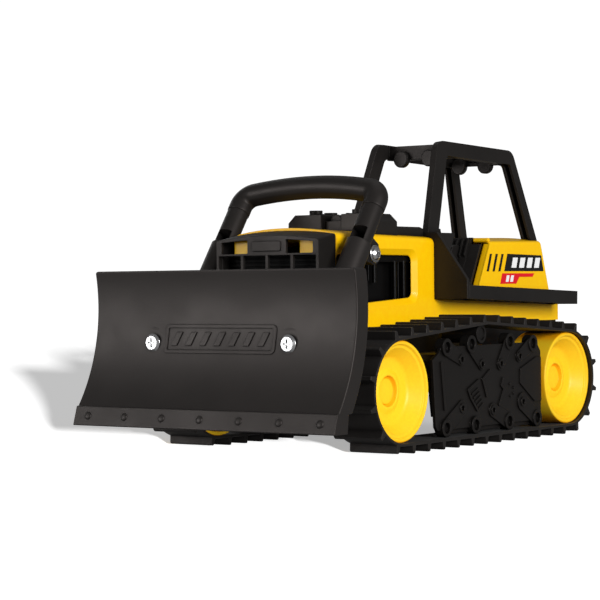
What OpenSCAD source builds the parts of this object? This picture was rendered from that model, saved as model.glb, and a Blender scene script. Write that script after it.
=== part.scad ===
// Toy bulldozer: pressed-steel body on a plastic chassis, two rubber track
// belts on dished wheels, and a blade that is lifted with a grip handle.
// Millimetres. +Z is up, the blade faces -Y, X = 0 is the symmetry plane.
// The origin is on the ground, below the middle of the whole length.
// "Left" nodes lie at -X and "right" nodes at +X, as seen from the front.

/* [Blade] */
// Width of the blade over its end flanges
blade_w = 216; // [200:1:230]
// Height of the blade's top edge above the ground
blade_top = 123; // [118:0.5:126]
// Height of the cutting edge's lower lip above the ground
blade_gap = 19; // [16:0.5:22]
// Radius of the hollow front face
blade_r = 116; // [105:1:130]
// Depth of the end flanges behind the face
blade_depth = 13; // [11:0.5:15]

/* [Undercarriage] */
// Distance between the two axles
wheelbase = 226.5; // [220:0.5:232]
// Radius of the wheels where the belt runs
wheel_r = 34; // [33:0.5:34.5]
// Thickness of the belt between its grousers
belt_t = 2; // [1.5:0.1:2.5]
// Height of the grousers
grouser_h = 5.3; // [4:0.1:6]
// Number of grousers on one belt
grousers = 36; // [32:1:38]
// Inner side of the track belt, from the symmetry plane
track_in = 58.5; // [58:0.5:60]
// Width of the track belt
track_w = 37.5; // [36:0.5:40]
// Radius of the steel axles
axle_r = 3; // [2.5:0.25:3.5]
// Radial clearance of everything that turns
running_gap = 0.06; // [0.04:0.01:0.09]

/* [Body] */
// Half width of the hood and the sills
body_hw = 43; // [42.5:0.25:44]
// Thickness of the pressed sheet
sheet = 1.2; // [1:0.1:1.4]
// Half width of the fender deck
deck_hw = 71; // [68:0.5:73]
// Slope of the deck, falling to the rear
deck_rake = 2; // [1.5:0.1:2.2]
// Slope of the hood, falling to the rear
hood_rake = 1.1; // [0.8:0.1:1.3]

/* [Lift handle] */
// Half distance between the two arm tubes' centres
arm_x = 57.5; // [57:0.25:58]
// Radius of the grip
grip_r = 8.1; // [7.9:0.1:8.3]
// Radius of the grip's crowned bar
crown_r = 260; // [220:10:400]
// Lean of the arms from the vertical
arm_lean = 35.3; // [34:0.1:36.5]

/* [Hidden] */
$fn = 64;

black = "#2b2928";
soot = "#1d1c1b";
yellow = "#ffc20a";
lemon = "#ffd52e";
steel = "#c9ccd0";
red = "#d8232a";

// Everything is drawn with Y = 0 at the front axle; this is the middle of the length
mid_y = 101.7;

// Axles and carrier roller; centres are [y, z]
belt_fit = 0.1;
axle_z = wheel_r + belt_fit + belt_t + grouser_h;
front_hub = [0, axle_z];
rear_hub = [wheelbase, axle_z];
hubs = [front_hub, rear_hub];
axle_end = 78.9;
axle_bore = axle_r + 0.02;
running_bore = axle_r + running_gap;
roller_r = 6.5;
roller_pin_r = 2.5;
roller = [108, axle_z + 35.6];

// Pivot of the lift frame [y, z] and right-hand blade screw [x, z]
pivot = [22.9, 133.1];
blade_screw = [56.4, 74.6];

// Screws up through the chassis floor, and out into the track frames [y, z]
floor_screw_x = 26;
engine_screw_ys = [20, 100];
deck_screw_ys = [150, 276];
frame_screws = [[66, 55], [170, 55]];
screw_r = 1.5;
pilot_r = 1.56;
// X of the face where the track frames meet the chassis, and of their inner floor
frame_x = 44.2;
frame_floor_x = frame_x + 2.5;

// ---------- placing ----------
module at_frame() { translate([0, -mid_y, 0]) children(); }
// children, and their mirror image across X = 0
module both() {
  children();
  mirror([1, 0, 0]) children();
}
// profile in (Y, Z), pushed along X from x0 to x1
module along_x(x0, x1) {
  translate([x0, 0, 0]) rotate([90, 0, 90]) linear_extrude(height = x1 - x0) children();
}
// profile in (X, Z), pushed along Y from y0 to y1
module along_y(y0, y1) {
  translate([0, y1, 0]) rotate([90, 0, 0]) linear_extrude(height = y1 - y0) children();
}
// rod along X, centred on at = [y, z]
module rod_x(r, x0, x1, at) {
  translate([x0, at[0], at[1]]) rotate([0, 90, 0]) cylinder(r = r, h = x1 - x0);
}
// rod along Y, centred on at = [x, z]
module rod_y(r, y0, y1, at) {
  translate([at[0], y0, at[1]]) rotate([-90, 0, 0]) cylinder(r = r, h = y1 - y0);
}
// box from its ranges [from, to] in x, y and z
module box(x, y, z) {
  translate([x[0], y[0], z[0]]) cube([x[1] - x[0], y[1] - y[0], z[1] - z[0]]);
}

// ---------- outlines ----------
function unit(v) = v / norm(v);
// points of the arc that rounds one corner
function fillet(before, corner, after, r, steps = 5) =
  let (u = unit(before - corner),
    v = unit(after - corner),
    half_angle = acos(u * v) / 2,
    centre = corner + unit(u + v) * (r / sin(half_angle)),
    start = corner + u * (r / tan(half_angle)) - centre,
    end = corner + v * (r / tan(half_angle)) - centre,
    from = atan2(start[1], start[0]),
    turn = (atan2(end[1], end[0]) - from + 540) % 360 - 180)
  [for (i = [0:steps]) centre + r * [cos(from + turn * i / steps), sin(from + turn * i / steps)]];
// polygon with rounded corners; radii is one number or one for each corner
function rounded(points, radii) =
  let (n = len(points))
  [for (i = [0:n - 1])
    let (r = is_list(radii) ? radii[i] : radii)
    each (r > 0 ? fillet(points[(i + n - 1) % n], points[i], points[(i + 1) % n], r)
      : [points[i]])];
// where the line through p along u meets the line through q along v
function meeting(p, u, q, v) =
  p + u * (((q[0] - p[0]) * v[1] - (q[1] - p[1]) * v[0]) / (u[0] * v[1] - u[1] * v[0]));
// polygon listed anticlockwise, moved inwards by d
function inset(points, d) =
  let (n = len(points))
  [for (i = [0:n - 1])
    let (p = points[i],
      u = unit(p - points[(i + n - 1) % n]),
      v = unit(points[(i + 1) % n] - p))
    meeting(p + d * [-u[1], u[0]], u, p + d * [-v[1], v[0]], v)];
// cross-section with an arched top: half width, then the three heights
function arch(half_w, bottom, shoulder, crown) =
  let (rise = crown - shoulder,
    r = (half_w * half_w + rise * rise) / (2 * rise),
    half_angle = asin(half_w / r),
    steps = 14)
  concat([[-half_w, bottom], [half_w, bottom]],
    [for (i = [0:steps])
      let (t = 90 - half_angle + 2 * half_angle * i / steps)
      [r * cos(t), crown - r + r * sin(t)]]);
// arch with its two shoulders rounded
function rounded_arch(half_w, bottom, shoulder, crown, r) =
  let (points = arch(half_w, bottom, shoulder, crown), n = len(points))
  rounded(points, [for (i = [0:n - 1]) i == 2 || i == n - 1 ? r : 0]);

// ---------- fender deck's frame ----------
deck_front = 123;
deck_z = 101.4;
deck_t = 10;
// lift of the cut that clears the deck's top
deck_lift = deck_t / cos(deck_rake) + 0.02;
// raked frame of the deck: origin at its front lower edge
module deck_frame(lift = 0) {
  translate([0, deck_front, deck_z + lift]) rotate([-deck_rake, 0, 0]) children();
}
// block below the raked plane
module under_deck(lift = 0) {
  deck_frame(lift) translate([-80, -4, -80]) cube([160, 210, 80]);
}

// ---------- body ----------
hood_front = -1.6;
hood_rear = 121;
hood_shoulder = 147.2;
hood_crown = 151.4;
sill_rear = 304;
boss_r = 6.5;
// side window in (Y, Z), from the lower front corner
window = [[3, 98.2], [94.5, 103.4], [94.5, 132.2], [3, 132.6]];
window_radii = [3, 4, 4, 3];

// raked bar with the hood's section, moved inwards by d
module hood_bar(d, bottom, r) {
  rotate([-hood_rake, 0, 0]) along_y(-40, 160)
    polygon(rounded_arch(body_hw - d, bottom, hood_shoulder - d, hood_crown - d, r));
}
module window_cut() { along_x(-60, 60) polygon(rounded(window, window_radii)); }
// pressed border of a side window, sloping in towards the opening
module window_bevel() {
  difference() {
    hull() {
      along_x(body_hw + 0.1, body_hw + 0.2) polygon(rounded(inset(window, -5), [3, 8, 8, 3]));
      along_x(39.5, 39.6) polygon(rounded(inset(window, 0.1), window_radii));
    }
    rod_x(7.6, 30, 60, pivot);
  }
}
module hood_sheet() {
  difference() {
    intersection() {
      difference() {
        hood_bar(0, 60, 4.5);
        hood_bar(sheet, 50, 3.4);
      }
      box([-60, 60], [hood_front, hood_rear], [83, 170]);
    }
    both() window_bevel();
    difference() {
      window_cut();
      both() rod_x(7, 40, 60, pivot);
    }
    both() rod_x(axle_bore, 30, 70, pivot);
  }
}
module window_border() {
  outline = [[1, 93.8], [100.5, 98.2], [100.5, 138], [1, 138]];
  difference() {
    along_x(39.8, body_hw - sheet + 0.3) polygon(rounded(outline, [2, 8, 8, 2]));
    window_cut();
    window_bevel();
    rod_x(4, 30, 60, pivot);
  }
}
module hood_pivot_boss() {
  difference() {
    union() {
      rod_x(boss_r, body_hw - sheet, 49.7, pivot);
      box([body_hw - sheet, body_hw], [pivot[0] - boss_r, pivot[0] + boss_r],
        [pivot[1] - 2, pivot[1] + 6]);
    }
    rod_x(axle_bore, 30, 70, pivot);
  }
}
// front flange of the hood, with two tabs behind the grille openings
module hood_flange() {
  intersection() {
    hood_bar(0.4, 60, 4.5);
    box([-60, 60], [hood_front, hood_front + sheet], [141.6, 170]);
  }
  both() {
    box([22, 33.5], [-14.4, -13.2], [133.4, 143.2]);
    box([22, 33.5], [-13.8, hood_front + 0.6], [142, 143.2]);
  }
}
// sills and rear panel below the deck
module sills() {
  outer = body_hw - 0.15;
  inner = body_hw - sheet + 0.1;
  intersection() {
    difference() {
      box([-outer, outer], [hood_rear - 2, sill_rear], [83.2, 103]);
      box([-inner, inner], [hood_rear - 5, sill_rear - sheet], [80, 110]);
    }
    union() {
      under_deck();
      box([-60, 60], [298, 310], [80, 96.4]);
    }
  }
}
module body_shell() {
  color(yellow) {
    hood_sheet();
    both() window_border();
    both() hood_pivot_boss();
    hood_flange();
    sills();
  }
}

// ---------- chassis ----------
// underside of the lowered middle pan, and of the floor at both ends
pan_z = 35;
end_floor_z = 45;
function floor_z(y) = y > 44 && y < 200 ? pan_z : end_floor_z;
// outer and inner outline in (Y, Z), from the lower front
tub_outer = [[hood_front, 56], [hood_front + 4.6, end_floor_z], [36, end_floor_z],
  [44, pan_z], [200, pan_z], [208, end_floor_z], [288, end_floor_z],
  [302, 66], [302, 93], [4, 93], [4, 85.5], [hood_front, 85.5]];
tub_inner = [[hood_front + 3, 57], [hood_front + 6.4, 48], [37.6, 48],
  [45.6, pan_z + 3], [198.4, pan_z + 3], [206.4, 48], [287.2, 48],
  [299, 67.8], [299, 94], [hood_front + 3, 94]];

module chassis() {
  half_w = body_hw - sheet;
  color(soot) difference() {
    union() {
      difference() {
        along_x(-half_w, half_w) polygon(tub_outer);
        along_x(-half_w + 3, half_w - 3) polygon(tub_inner);
      }
      // axle supports
      for (hub = hubs) both() {
        box([half_w - 6, half_w], [hub[0] - 9, hub[0] + 9], [axle_z, 60]);
        rod_x(9, half_w - 6, half_w, hub);
      }
      // cross walls
      for (y = [70, 113, 186]) box([-half_w + 2, half_w - 2], [y, y + 2.5], [pan_z + 2, 70]);
      // pads for the track frames
      for (p = frame_screws) both()
        box([half_w, frame_x], [p[0] - 7, p[0] + 7], [p[1] - 6, p[1] + 6]);
    }
    for (hub = hubs) rod_x(axle_bore, -60, 60, hub);
    for (y = concat(engine_screw_ys, deck_screw_ys)) both()
      translate([floor_screw_x, y, floor_z(y) - 5]) cylinder(r = 1.7, h = 12);
    for (p = frame_screws) both() rod_x(pilot_r, 30, 60, p);
  }
}
module chassis_screws() {
  color(steel) for (y = concat(engine_screw_ys, deck_screw_ys)) both()
    translate([floor_screw_x, y, floor_z(y)]) {
      difference() {
        translate([0, 0, -2.2]) cylinder(r1 = 2.4, r2 = 3.2, h = 2.2);
        for (s = [[2, 0.4], [0.4, 2]]) box([-s[0], s[0]], [-s[1], s[1]], [-3, -1.5]);
      }
      cylinder(r = screw_r, h = 15);
    }
}
// pair of bosses over the chassis floor that take its screws
module screw_bosses(y, top) {
  both() difference() {
    translate([floor_screw_x, y, floor_z(y) + 3]) cylinder(r = 4, h = top - floor_z(y) - 3);
    translate([floor_screw_x, y, floor_z(y) - 5]) cylinder(r = pilot_r, h = 25);
  }
}

// ---------- grille ----------
grille_front = -22.7;
grille_shoulder = 143.1;
grille_t = 2.4;
// bar whose arched top rises to the rear, moved inwards by d
module grille_bar(d) {
  translate([0, grille_front, grille_shoulder]) rotate([10.4, 0, 0])
    translate([0, -grille_front, -grille_shoulder]) along_y(-60, 40)
      polygon(rounded_arch(body_hw - d, 30, grille_shoulder - d, 146 - d, 1.3));
}
module grille_shell() {
  header_opening = [[16.2, 134], [38.6, 134], [38.6, 141.7], [16.2, 143.3]];
  difference() {
    union() {
      intersection() {
        grille_bar(0);
        box([-60, 60], [grille_front, -2.8], [62, 170]);
      }
      // narrower seam where the hood begins
      intersection() {
        grille_bar(0.8);
        box([-60, 60], [-5, hood_front], [62, 170]);
      }
    }
    intersection() {
      grille_bar(2.3);
      box([-60, 60], [grille_front + grille_t, hood_front + 1], [64.2, 170]);
    }
    // main opening below the header
    box([-41, 41], [grille_front - 1, grille_front + 4], [66, 132.6]);
    both() along_y(grille_front - 1, grille_front + 4) polygon(rounded(header_opening, 0.8));
  }
}
module grille_frame() {
  color(black) difference() {
    union() {
      grille_shell();
      // vertical bars
      for (x = [-42:21:42])
        box([x - 1, x + 1], [grille_front, grille_front + grille_t], [64, 133.3]);
    }
    // chamfered lower edge
    translate([0, grille_front, 62]) rotate([45, 0, 0]) cube([120, 3, 3], center = true);
  }
  // raised plate in the header
  color(black) along_y(grille_front - 0.8, grille_front)
    polygon(rounded([[-12, 135.6], [12, 135.6], [12, 142.2], [-12, 142.2]], 1));
}
module radiator_panel() {
  color(soot) {
    // vertical core with horizontal fins
    box([-40.5, 40.5], [-11.2, -9.4], [64.5, 134]);
    for (i = [0:22]) box([-40, 40], [-11.9, -11.2], [65.4 + i * 3, 67 + i * 3]);
  }
}

// ---------- engine ----------
// upright rods on the engine's sides: [y, lower end]
thick_rods = [[36.4, 113.5], [51.8, 113.5], [77.3, 96.5], [88.8, 96.5]];
thin_rods = [[45.6, 115], [83.2, 96.5]];
rods_top = 129;

module upright_rods(rods, x, r) {
  for (p = rods) translate([x, p[0], p[1]]) cylinder(r = r, h = rods_top - p[1]);
}
module engine_block() {
  color(soot) difference() {
    union() {
      box([-33, 33], [-6.4, 118], [86, 138]);
      box([-39.5, 39.5], [hood_front + 0.2, 118], [93.2, 97]);
      both() {
        upright_rods(thick_rods, x = 37.4, r = 1.6);
        upright_rods(thin_rods, x = 36.6, r = 0.8);
        box([32, 36.2], [92.5, 98], [96.5, 134]);
        box([32, 38], [-6.4, 100], [128, 133]);
      }
      for (y = engine_screw_ys) screw_bosses(y, top = 88);
    }
    // hollow inside, open below
    box([-29, 29], [-3, 114], [80, 134]);
    both() rod_x(4, 34, 45, pivot);
  }
}
module stack_body() {
  stack = [[8.6, 140], [37.2, 140], [37.2, 156.6], [31.2, 162.2], [8.6, 162.2]];
  cowl = [[-34, 140], [34, 140], [34, 152.2], [31, 153.6], [-31, 153.6], [-34, 152.2]];
  both() {
    // box with a chamfered outer shoulder
    along_y(53.7, 82) polygon(rounded(stack, [0, 0, 1, 1, 1]));
    // filler caps: [x, y, height]
    for (c = [[18.4, 61.5, 4.4], [15, 75, 3.0]])
      translate([c[0], c[1], 161]) cylinder(r = 4.7, h = c[2]);
    // raised ribs: [x, top]
    for (rib = [[12, 162.9], [33, 161.4]])
      along_y(56, 80) polygon([[rib[0] - 0.8, 150], [rib[0] + 0.8, 150],
        [rib[0] + 0.8, rib[1]], [rib[0] - 0.8, rib[1]]]);
  }
  // lower bridge with a round back, and the cowl behind it
  box([-9, 9], [58, 79], [140, 157.5]);
  rod_y(4.5, 60, 77, [0, 157.5]);
  along_y(82, hood_rear) polygon(rounded(cowl, [0, 0, 0.5, 0.5, 0.5, 0.5]));
}
// only what stands above the hood is kept
module engine_top_cover() {
  color(black) difference() {
    stack_body();
    hood_bar(0, 50, 4.5);
  }
}

// ---------- cab ----------
wall_hw = deck_hw - 0.2;
firewall = [[-wall_hw, 101.5], [wall_hw, 101.5], [wall_hw, 115.3],
  [45.5, 149.6], [-45.5, 149.6], [-wall_hw, 115.3]];
// deck seen from above, in (X, Y) of the deck's frame
deck_outline = [[-deck_hw, 0], [deck_hw, 0], [deck_hw, 164.2], [48, 164.2],
  [44, 173], [-44, 173], [-48, 164.2], [-deck_hw, 164.2]];
deck_radii = [0, 0, 4, 2, 2, 2, 2, 4];

// shelf behind the firewall that carries the front posts, with its gussets
module dash() {
  difference() {
    box([-44.6, 44.6], [hood_rear + 2, 147], [146.4, 149.3]);
    box([-22, 22], [138, 158], [140, 160]);
  }
  both() {
    along_x(43, 44.9)
      polygon([[hood_rear + 2, 103], [146.6, 149.0], [hood_rear + 2, 149.0]]);
    along_x(deck_hw - 2.2, deck_hw - 0.5)
      polygon([[hood_rear + 2, 108], [135.6, 108], [hood_rear + 2, 114.6]]);
  }
}
// fender deck, hollow below, with a skirt and ribs
module fender_deck() {
  difference() {
    deck_frame() {
      difference() {
        linear_extrude(height = deck_t) polygon(rounded(deck_outline, deck_radii));
        both() translate([body_hw + 2, 2.5, -1]) cube([deck_hw - body_hw - 4.5, 159, 8]);
        translate([-body_hw + 4, 3, -1]) cube([2 * body_hw - 8, 165, 8]);
      }
      for (y = [40, 80, 120]) both()
        translate([body_hw + 1, y, 0]) cube([deck_hw - body_hw - 2, 2, 8]);
    }
    box([-90, 90], [100, hood_rear + 2.9], [90, 120]);
  }
}
module cab_deck() {
  color(black) {
    along_y(hood_rear, hood_rear + 3) polygon(firewall);
    dash();
    fender_deck();
    for (y = deck_screw_ys) screw_bosses(y, top = 109.5 - (y - deck_front) * tan(deck_rake));
  }
}
// front line of the rear cover, leaning to the rear
function cover_front(z) = 183.3 + (z - 100) * 0.518;
// [distance behind that line, z] turned into [y, z]
function on_cover_front(points) = [for (p = points) [cover_front(p[1]) + p[0], p[1]]];

cushion = [[152, 105], [184, 105], [190.6, 118], [190.6, 122], [155, 125], [151, 122]];
backrest = [[180, 121], [190.8, 121], [200.4, 139.4], [196, 142], [188.6, 140]];
bulkhead_rib = [[-6, 134], [-4, 132], [-4, 146.4], [-6, 146.4]];

// ribbed bulkhead behind the seat
module bulkhead() {
  along_x(-24.5, 24.5)
    polygon(on_cover_front([[-4.2, 104], [-1.2, 104], [-1.2, 147.2], [-4.2, 147.2]]));
  along_x(-34, 34) polygon(on_cover_front([[-4, 104], [-1.4, 104], [-1.4, 142], [-4, 142]]));
  for (i = [-5:5])
    along_x(i * 4.6 - 0.7, i * 4.6 + 0.7) polygon(on_cover_front(bulkhead_rib));
}
module seat() {
  color(soot) difference() {
    union() {
      bulkhead();
      along_x(-17, 17) {
        polygon(rounded(cushion, [0, 0, 0, 0, 2, 2]));
      }
      along_x(-17, 17) {
        polygon(rounded(backrest, [0, 0, 1, 1.5, 1.5]));
      }
      both() {
        // levers beside the seat
        for (y = [158, 166]) translate([25, y, 106]) {
          cylinder(r = 1.3, h = 22);
          translate([0, 0, 22]) sphere(r = 2.4);
        }
        box([21, 29], [153, 176], [105, 113]);
      }
      box([-29, 29], [152, 184.6], [105, 111.6]);
    }
    under_deck(deck_lift);
  }
}

// ---------- rear cover ----------
cover_hw = 40;
// the cover's solid, moved inwards by d and run out through the open front
module cover_solid(d) {
  front_shift = d > 0 ? -6 : 0;
  intersection() {
    along_x(-cover_hw + d, cover_hw - d)
      polygon(rounded([[183.3 + front_shift, 100], [297 - d, 100],
        [279.8 - d, 150.5], [209.4 + front_shift, 150.5]], [0, 0, 3, 0]));
    rotate([0.8, 0, 0]) along_y(150, 320)
      polygon(rounded_arch(cover_hw - d, 60, 140.9 - d, 144.5 - d, 3 - d / 2));
  }
}
module rear_cover() {
  color(yellow) difference() {
    union() {
      difference() {
        cover_solid(0);
        cover_solid(1.2);
      }
      both() {
        // turned-in flange of the open front
        along_x(34.3, 39.5)
          polygon(on_cover_front([[0.1, 102], [1.6, 102], [1.6, 141.6], [0.1, 142.2]]));
        // rolled lip at the front of the top
        rod_x(1.75, 25.5, 38, [206.4, 145.0]);
      }
    }
    under_deck(deck_lift);
  }
}

// ---------- roll-over frame ----------
// side loops in (Y, Z): front foot, rear foot, top rear, top front
foot_z = 149.6;
loop_outer = [[125.4, foot_z], [282.4, foot_z], [258.2, 215.0], [150.6, 218.1]];
loop_inner = [[139.3, foot_z], [273.0, foot_z], [253.6, 204.2], [161.3, 207.1]];
side_lean = 5.5;

// a loop with its feet moved out to foot_out and down to bottom, and rounded tops
function loop_outline(loop, foot_out, bottom, rear_r, front_r) =
  concat([[loop[0][0] - foot_out, bottom], [loop[1][0] + foot_out, bottom]],
    fillet(loop[1], loop[2], loop[3], rear_r),
    fillet(loop[2], loop[3], loop[0], front_r));
// tips the side inwards about a lengthwise line near its top
module side_plane() {
  translate([29, 0, 212]) rotate([0, -side_lean, 0]) translate([-29, 0, -212]) children();
}
module rops_side() {
  side_plane() difference() {
    along_x(21.2, 29.4) difference() {
      polygon(loop_outline(loop_outer, 1.8, 144.6, 9, 10));
      polygon(loop_outline(loop_inner, 3, 140, 3.5, 4.5));
    }
    // slimmer front half
    box([10, 24.4], [100, 236], [138, 230]);
    // channel in the rear posts, open towards the front
    intersection() {
      along_x(23.4, 27.2) polygon(loop_outline(inset(loop_outer, 2.2), 1.8, 143, 7, 8));
      box([10, 40], [239, 300], [138, 230]);
    }
  }
}
module rops_frame() {
  color(black) difference() {
    union() {
      both() rops_side();
      // front cross bar, open to the rear
      difference() {
        box([-26.4, 26.4], [166.5, 177.5], [205.8, 216.3]);
        box([-23.6, 23.6], [168.7, 179], [208.0, 214.2]);
      }
      // rear cross bar, open to the front
      difference() {
        box([-22.4, 22.4], [248.2, 256.5], [204.2, 214.3]);
        box([-30, 30], [246, 254.4], [206.3, 212.4]);
      }
      // feet on the dash shelf
      both() along_x(29, 35.6)
        polygon([[125, foot_z], [143, foot_z], [142, 152.6], [126.6, 152.6]]);
    }
    box([-60, 60], [100, 160], [130, foot_z]);
    cover_solid(0);
  }
}
// pair of round lamps at -x and x, lens facing -Y, with slots in the lower rim
module lamp_pair(y, x, z) {
  for (lamp_x = [-x, x]) {
    difference() {
      rod_y(6.3, y + 0.9, y + 4.2, [lamp_x, z]);
      for (i = [-2:2])
        translate([lamp_x + i * 2.1 - 0.25, y, z - 5.6]) cube([0.5, 1.4, 5.4]);
    }
    rod_y(5.7, y + 0.4, y + 0.9, [lamp_x, z]);
  }
}
module work_lamps_front() { color(black) lamp_pair(y = 162.3, x = 12.3, z = 206.2); }
module work_lamps_rear() { color(black) lamp_pair(y = 244.0, x = 11.8, z = 203.9); }

// ---------- labels on the rear cover's sides, in (Y, Z) ----------
label_t = 0.25;
label_bar = [[199.6, 121.4], [202.6, 121.4], [207.6, 134.6], [204.6, 134.6]];
label_field = [[225.6, 121.6], [286.2, 121.6], [282.6, 133.9], [230.6, 134.8]];
label_stripe = [[219.6, 112.0], [243.5, 112.0], [248.4, 117.2], [268.8, 117.2],
  [271.4, 119.9], [222.6, 119.9]];

module label_panels() {
  color(soot) both() along_x(cover_hw, cover_hw + label_t) {
    for (i = [0:2]) translate([i * 8.6, 0]) polygon(label_bar);
    polygon(label_field);
  }
}
module label_red() {
  color(red) both() along_x(cover_hw, cover_hw + label_t) polygon(label_stripe);
}

// ---------- axles ----------
module front_axle() { color(steel) rod_x(axle_r, -axle_end, axle_end, front_hub); }
module rear_axle() { color(steel) rod_x(axle_r, -axle_end, axle_end, rear_hub); }
module axle_push_nuts() {
  color(steel) for (hub = hubs) both() difference() {
    union() {
      rod_x(6.2, 76.8, 77.4, hub);
      rod_x(4.2, 77.4, 78.6, hub);
    }
    rod_x(axle_r, 70, 90, hub);
  }
}

// ---------- wheels ----------
// X of the wheels' outer plane
wheel_x = 93;
// half sections: [radius, distance inwards from the outer plane]
wheel_section = [
  // rim and outer dish
  [wheel_r, 1.0], [wheel_r - 0.9, 0], [31.9, 0], [31.2, 0.5], [30.9, 1.5], [30.2, 2.0],
  [29.2, 2.1], [23.2, 9.6], [22.2, 10.5], [20.8, 11.0], [15.3, 11.6], [14.6, 11.4],
  [11.9, 10.2], [10.9, 10.0], [10.3, 10.4], [10.0, 11.2], [9.05, 12.4], [9.05, 14.6],
  // bore and hub
  [7.6, 14.6], [7.6, 16.4], [running_bore, 16.4], [running_bore, 34.6],
  [7.5, 34.6], [7.5, 26], [10.6, 15.6],
  // inner dish and belt seat
  [21.6, 13.8], [24.6, 12.4], [30.9, 5.2], [31.4, 5.6], [31.4, 33.6], [wheel_r, 33.6]];
cap_section = [[0, 12.1], [7.9, 12.1], [8.6, 12.4], [9.0, 13.0], [9.0, 14.6],
  [7.7, 14.6], [7.3, 13.8], [0, 13.8]];

module at_wheel(hub) { translate([wheel_x, hub[0], hub[1]]) rotate([0, -90, 0]) children(); }
module wheel(hub) {
  color(lemon) at_wheel(hub) rotate_extrude($fn = 96) polygon(wheel_section);
}
module hub_cap(hub) { color(lemon) at_wheel(hub) rotate_extrude() polygon(cap_section); }

// ---------- track belts ----------
// The loop runs over three circles: rear wheel, carrier roller, front wheel.
// Each has a centre [y, z] and a radius to the belt's inner line.
loop_centres = [rear_hub, roller, front_hub];
loop_radii = [wheel_r + belt_fit, roller_r + belt_fit, wheel_r + belt_fit];
function next_step(i) = loop_centres[(i + 1) % 3] - loop_centres[i];
function radius_drop(i) = loop_radii[i] - loop_radii[(i + 1) % 3];
// direction of travel between circle i and the next
function travel(i) =
  let (step = next_step(i))
  (atan2(step[1], step[0]) + asin(radius_drop(i) / norm(step)) + 720) % 360;
// angles at which the belt meets and leaves each circle
last_leave = (travel(2) - 90 + 720) % 360;
meet_angles = [last_leave - 360, travel(0) - 90, travel(1) - 90];
leave_angles = [travel(0) - 90, travel(1) - 90, last_leave];
// lengths along the middle of the belt's thickness
mid_t = belt_t / 2;
arc_lens = [for (i = [0:2])
  (leave_angles[i] - meet_angles[i]) * PI / 180 * (loop_radii[i] + mid_t)];
straight_lens = [for (i = [0:2])
  sqrt(next_step(i) * next_step(i) - radius_drop(i) * radius_drop(i))];
loop_len = arc_lens[0] + arc_lens[1] + arc_lens[2]
  + straight_lens[0] + straight_lens[1] + straight_lens[2];

// points at distance s along arc or straight i, and d outside the inner line
function on_arc(i, s, d) =
  let (a = meet_angles[i] + s / (loop_radii[i] + mid_t) * 180 / PI)
  loop_centres[i] + (loop_radii[i] + d) * [cos(a), sin(a)];
function on_straight(i, s, d) =
  let (a = leave_angles[i])
  loop_centres[i] + (loop_radii[i] + d) * [cos(a), sin(a)] + s * [-sin(a), cos(a)];
// the same for a distance s along the whole loop
function walk(s, d, i = 0) =
  s <= arc_lens[i] ? on_arc(i, s, d)
  : s <= arc_lens[i] + straight_lens[i] || i == 2 ? on_straight(i, s - arc_lens[i], d)
  : walk(s - arc_lens[i] - straight_lens[i], d, i + 1);

// distance of the first grouser from the start of the rear wheel's arc
first_grouser = 8.9;
// half thickness of a grouser at its foot and tip
grouser_foot = 2.3;
grouser_tip = 0.9;

module belt() {
  pitch = loop_len / grousers;
  tip_d = belt_t + grouser_h;
  outer = [for (k = [0:grousers - 1])
    let (s = first_grouser + k * pitch)
    each [
      walk(s - grouser_foot, belt_t),
      walk(s - grouser_tip, tip_d),
      walk(s + grouser_tip, tip_d),
      each [for (j = [0:4])
        walk((s + grouser_foot + j * (pitch - 2 * grouser_foot) / 5) % loop_len, belt_t)]]];
  inner = [for (k = [0:grousers * 6 - 1]) walk(k * pitch / 6, 0)];
  color(soot) along_x(track_in, track_in + track_w) difference() {
    polygon(outer);
    polygon(inner);
  }
}
module carrier_roller() {
  color(soot) difference() {
    rod_x(roller_r, 61.4, 90, roller);
    rod_x(roller_pin_r + running_gap, 61, 84, roller);
    rod_x(4.6, 89.3, 91, roller);
  }
}

// ---------- track frames: outlines and places in (Y, Z) ----------
// inner and outer face of the side plate
plate_in = 87.6;
plate_out = 90;
plate = [[47.2, 14.8], [49.2, 12.3], [189.4, 12.3], [191.4, 14.4], [191.4, 62.6],
  [185.4, 69.2], [54.5, 69.2], [51.8, 65.2], [43.7, 60.6]];
wall_outer = [[50, 40], [109, 40], [113, 17], [186, 17], [186, 60], [180, 64],
  [56, 64], [50, 60]];
wall_inner = [[52.5, 42.5], [111, 42.5], [115, 19.5], [183.5, 19.5], [183.5, 58.8],
  [179, 61.5], [57, 61.5], [52.5, 58.8]];
large_bosses = [[60.2, 68.8], [92.3, 70.2], [145.1, 70.6], [178.2, 68.4],
  [58.8, 13.6], [97.6, 13.6], [143.4, 13.6], [183.6, 13.8]];
small_bosses = [[79.5, 60], [106.7, 55.8], [132.9, 55.2], [159.5, 59.7],
  [79.9, 26.2], [121.7, 22.7], [163.5, 26.6]];
// arms between bosses: [large boss, small boss, radius at the small boss]
boss_arms = [[0, 0, 4.4], [1, 1, 4.4], [2, 2, 4.8], [3, 3, 4.4],
  [4, 4, 5.6], [6, 5, 5.0], [7, 6, 6.6]];
// raised panel, bent bars and dots on the outer face
panel = [[183.5, 58.2], [160.5, 50.6], [160.5, 39.9], [181.1, 26.2],
  [190.6, 26.2], [190.6, 58.2]];
bent_bars = [
  [[118.4, 51.2], [108, 45], [113.7, 32.4]],
  [[103, 44.8], [88.4, 38.4], [92, 32.6], [101, 23.4]],
  [[136.5, 45.1], [133.8, 39.6], [137.2, 37.1], [130, 25.4]]];
dots = [[146.1, 40.2], [151.4, 37.3], [151.3, 33.2], [146.9, 31.4]];

// straight bar from a to b, with half widths wa and wb
module link(a, b, wa, wb) {
  along = unit(b - a);
  across = [-along[1], along[0]];
  polygon([a + across * wa, a - across * wa, b - across * wb, b + across * wb]);
}
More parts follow.
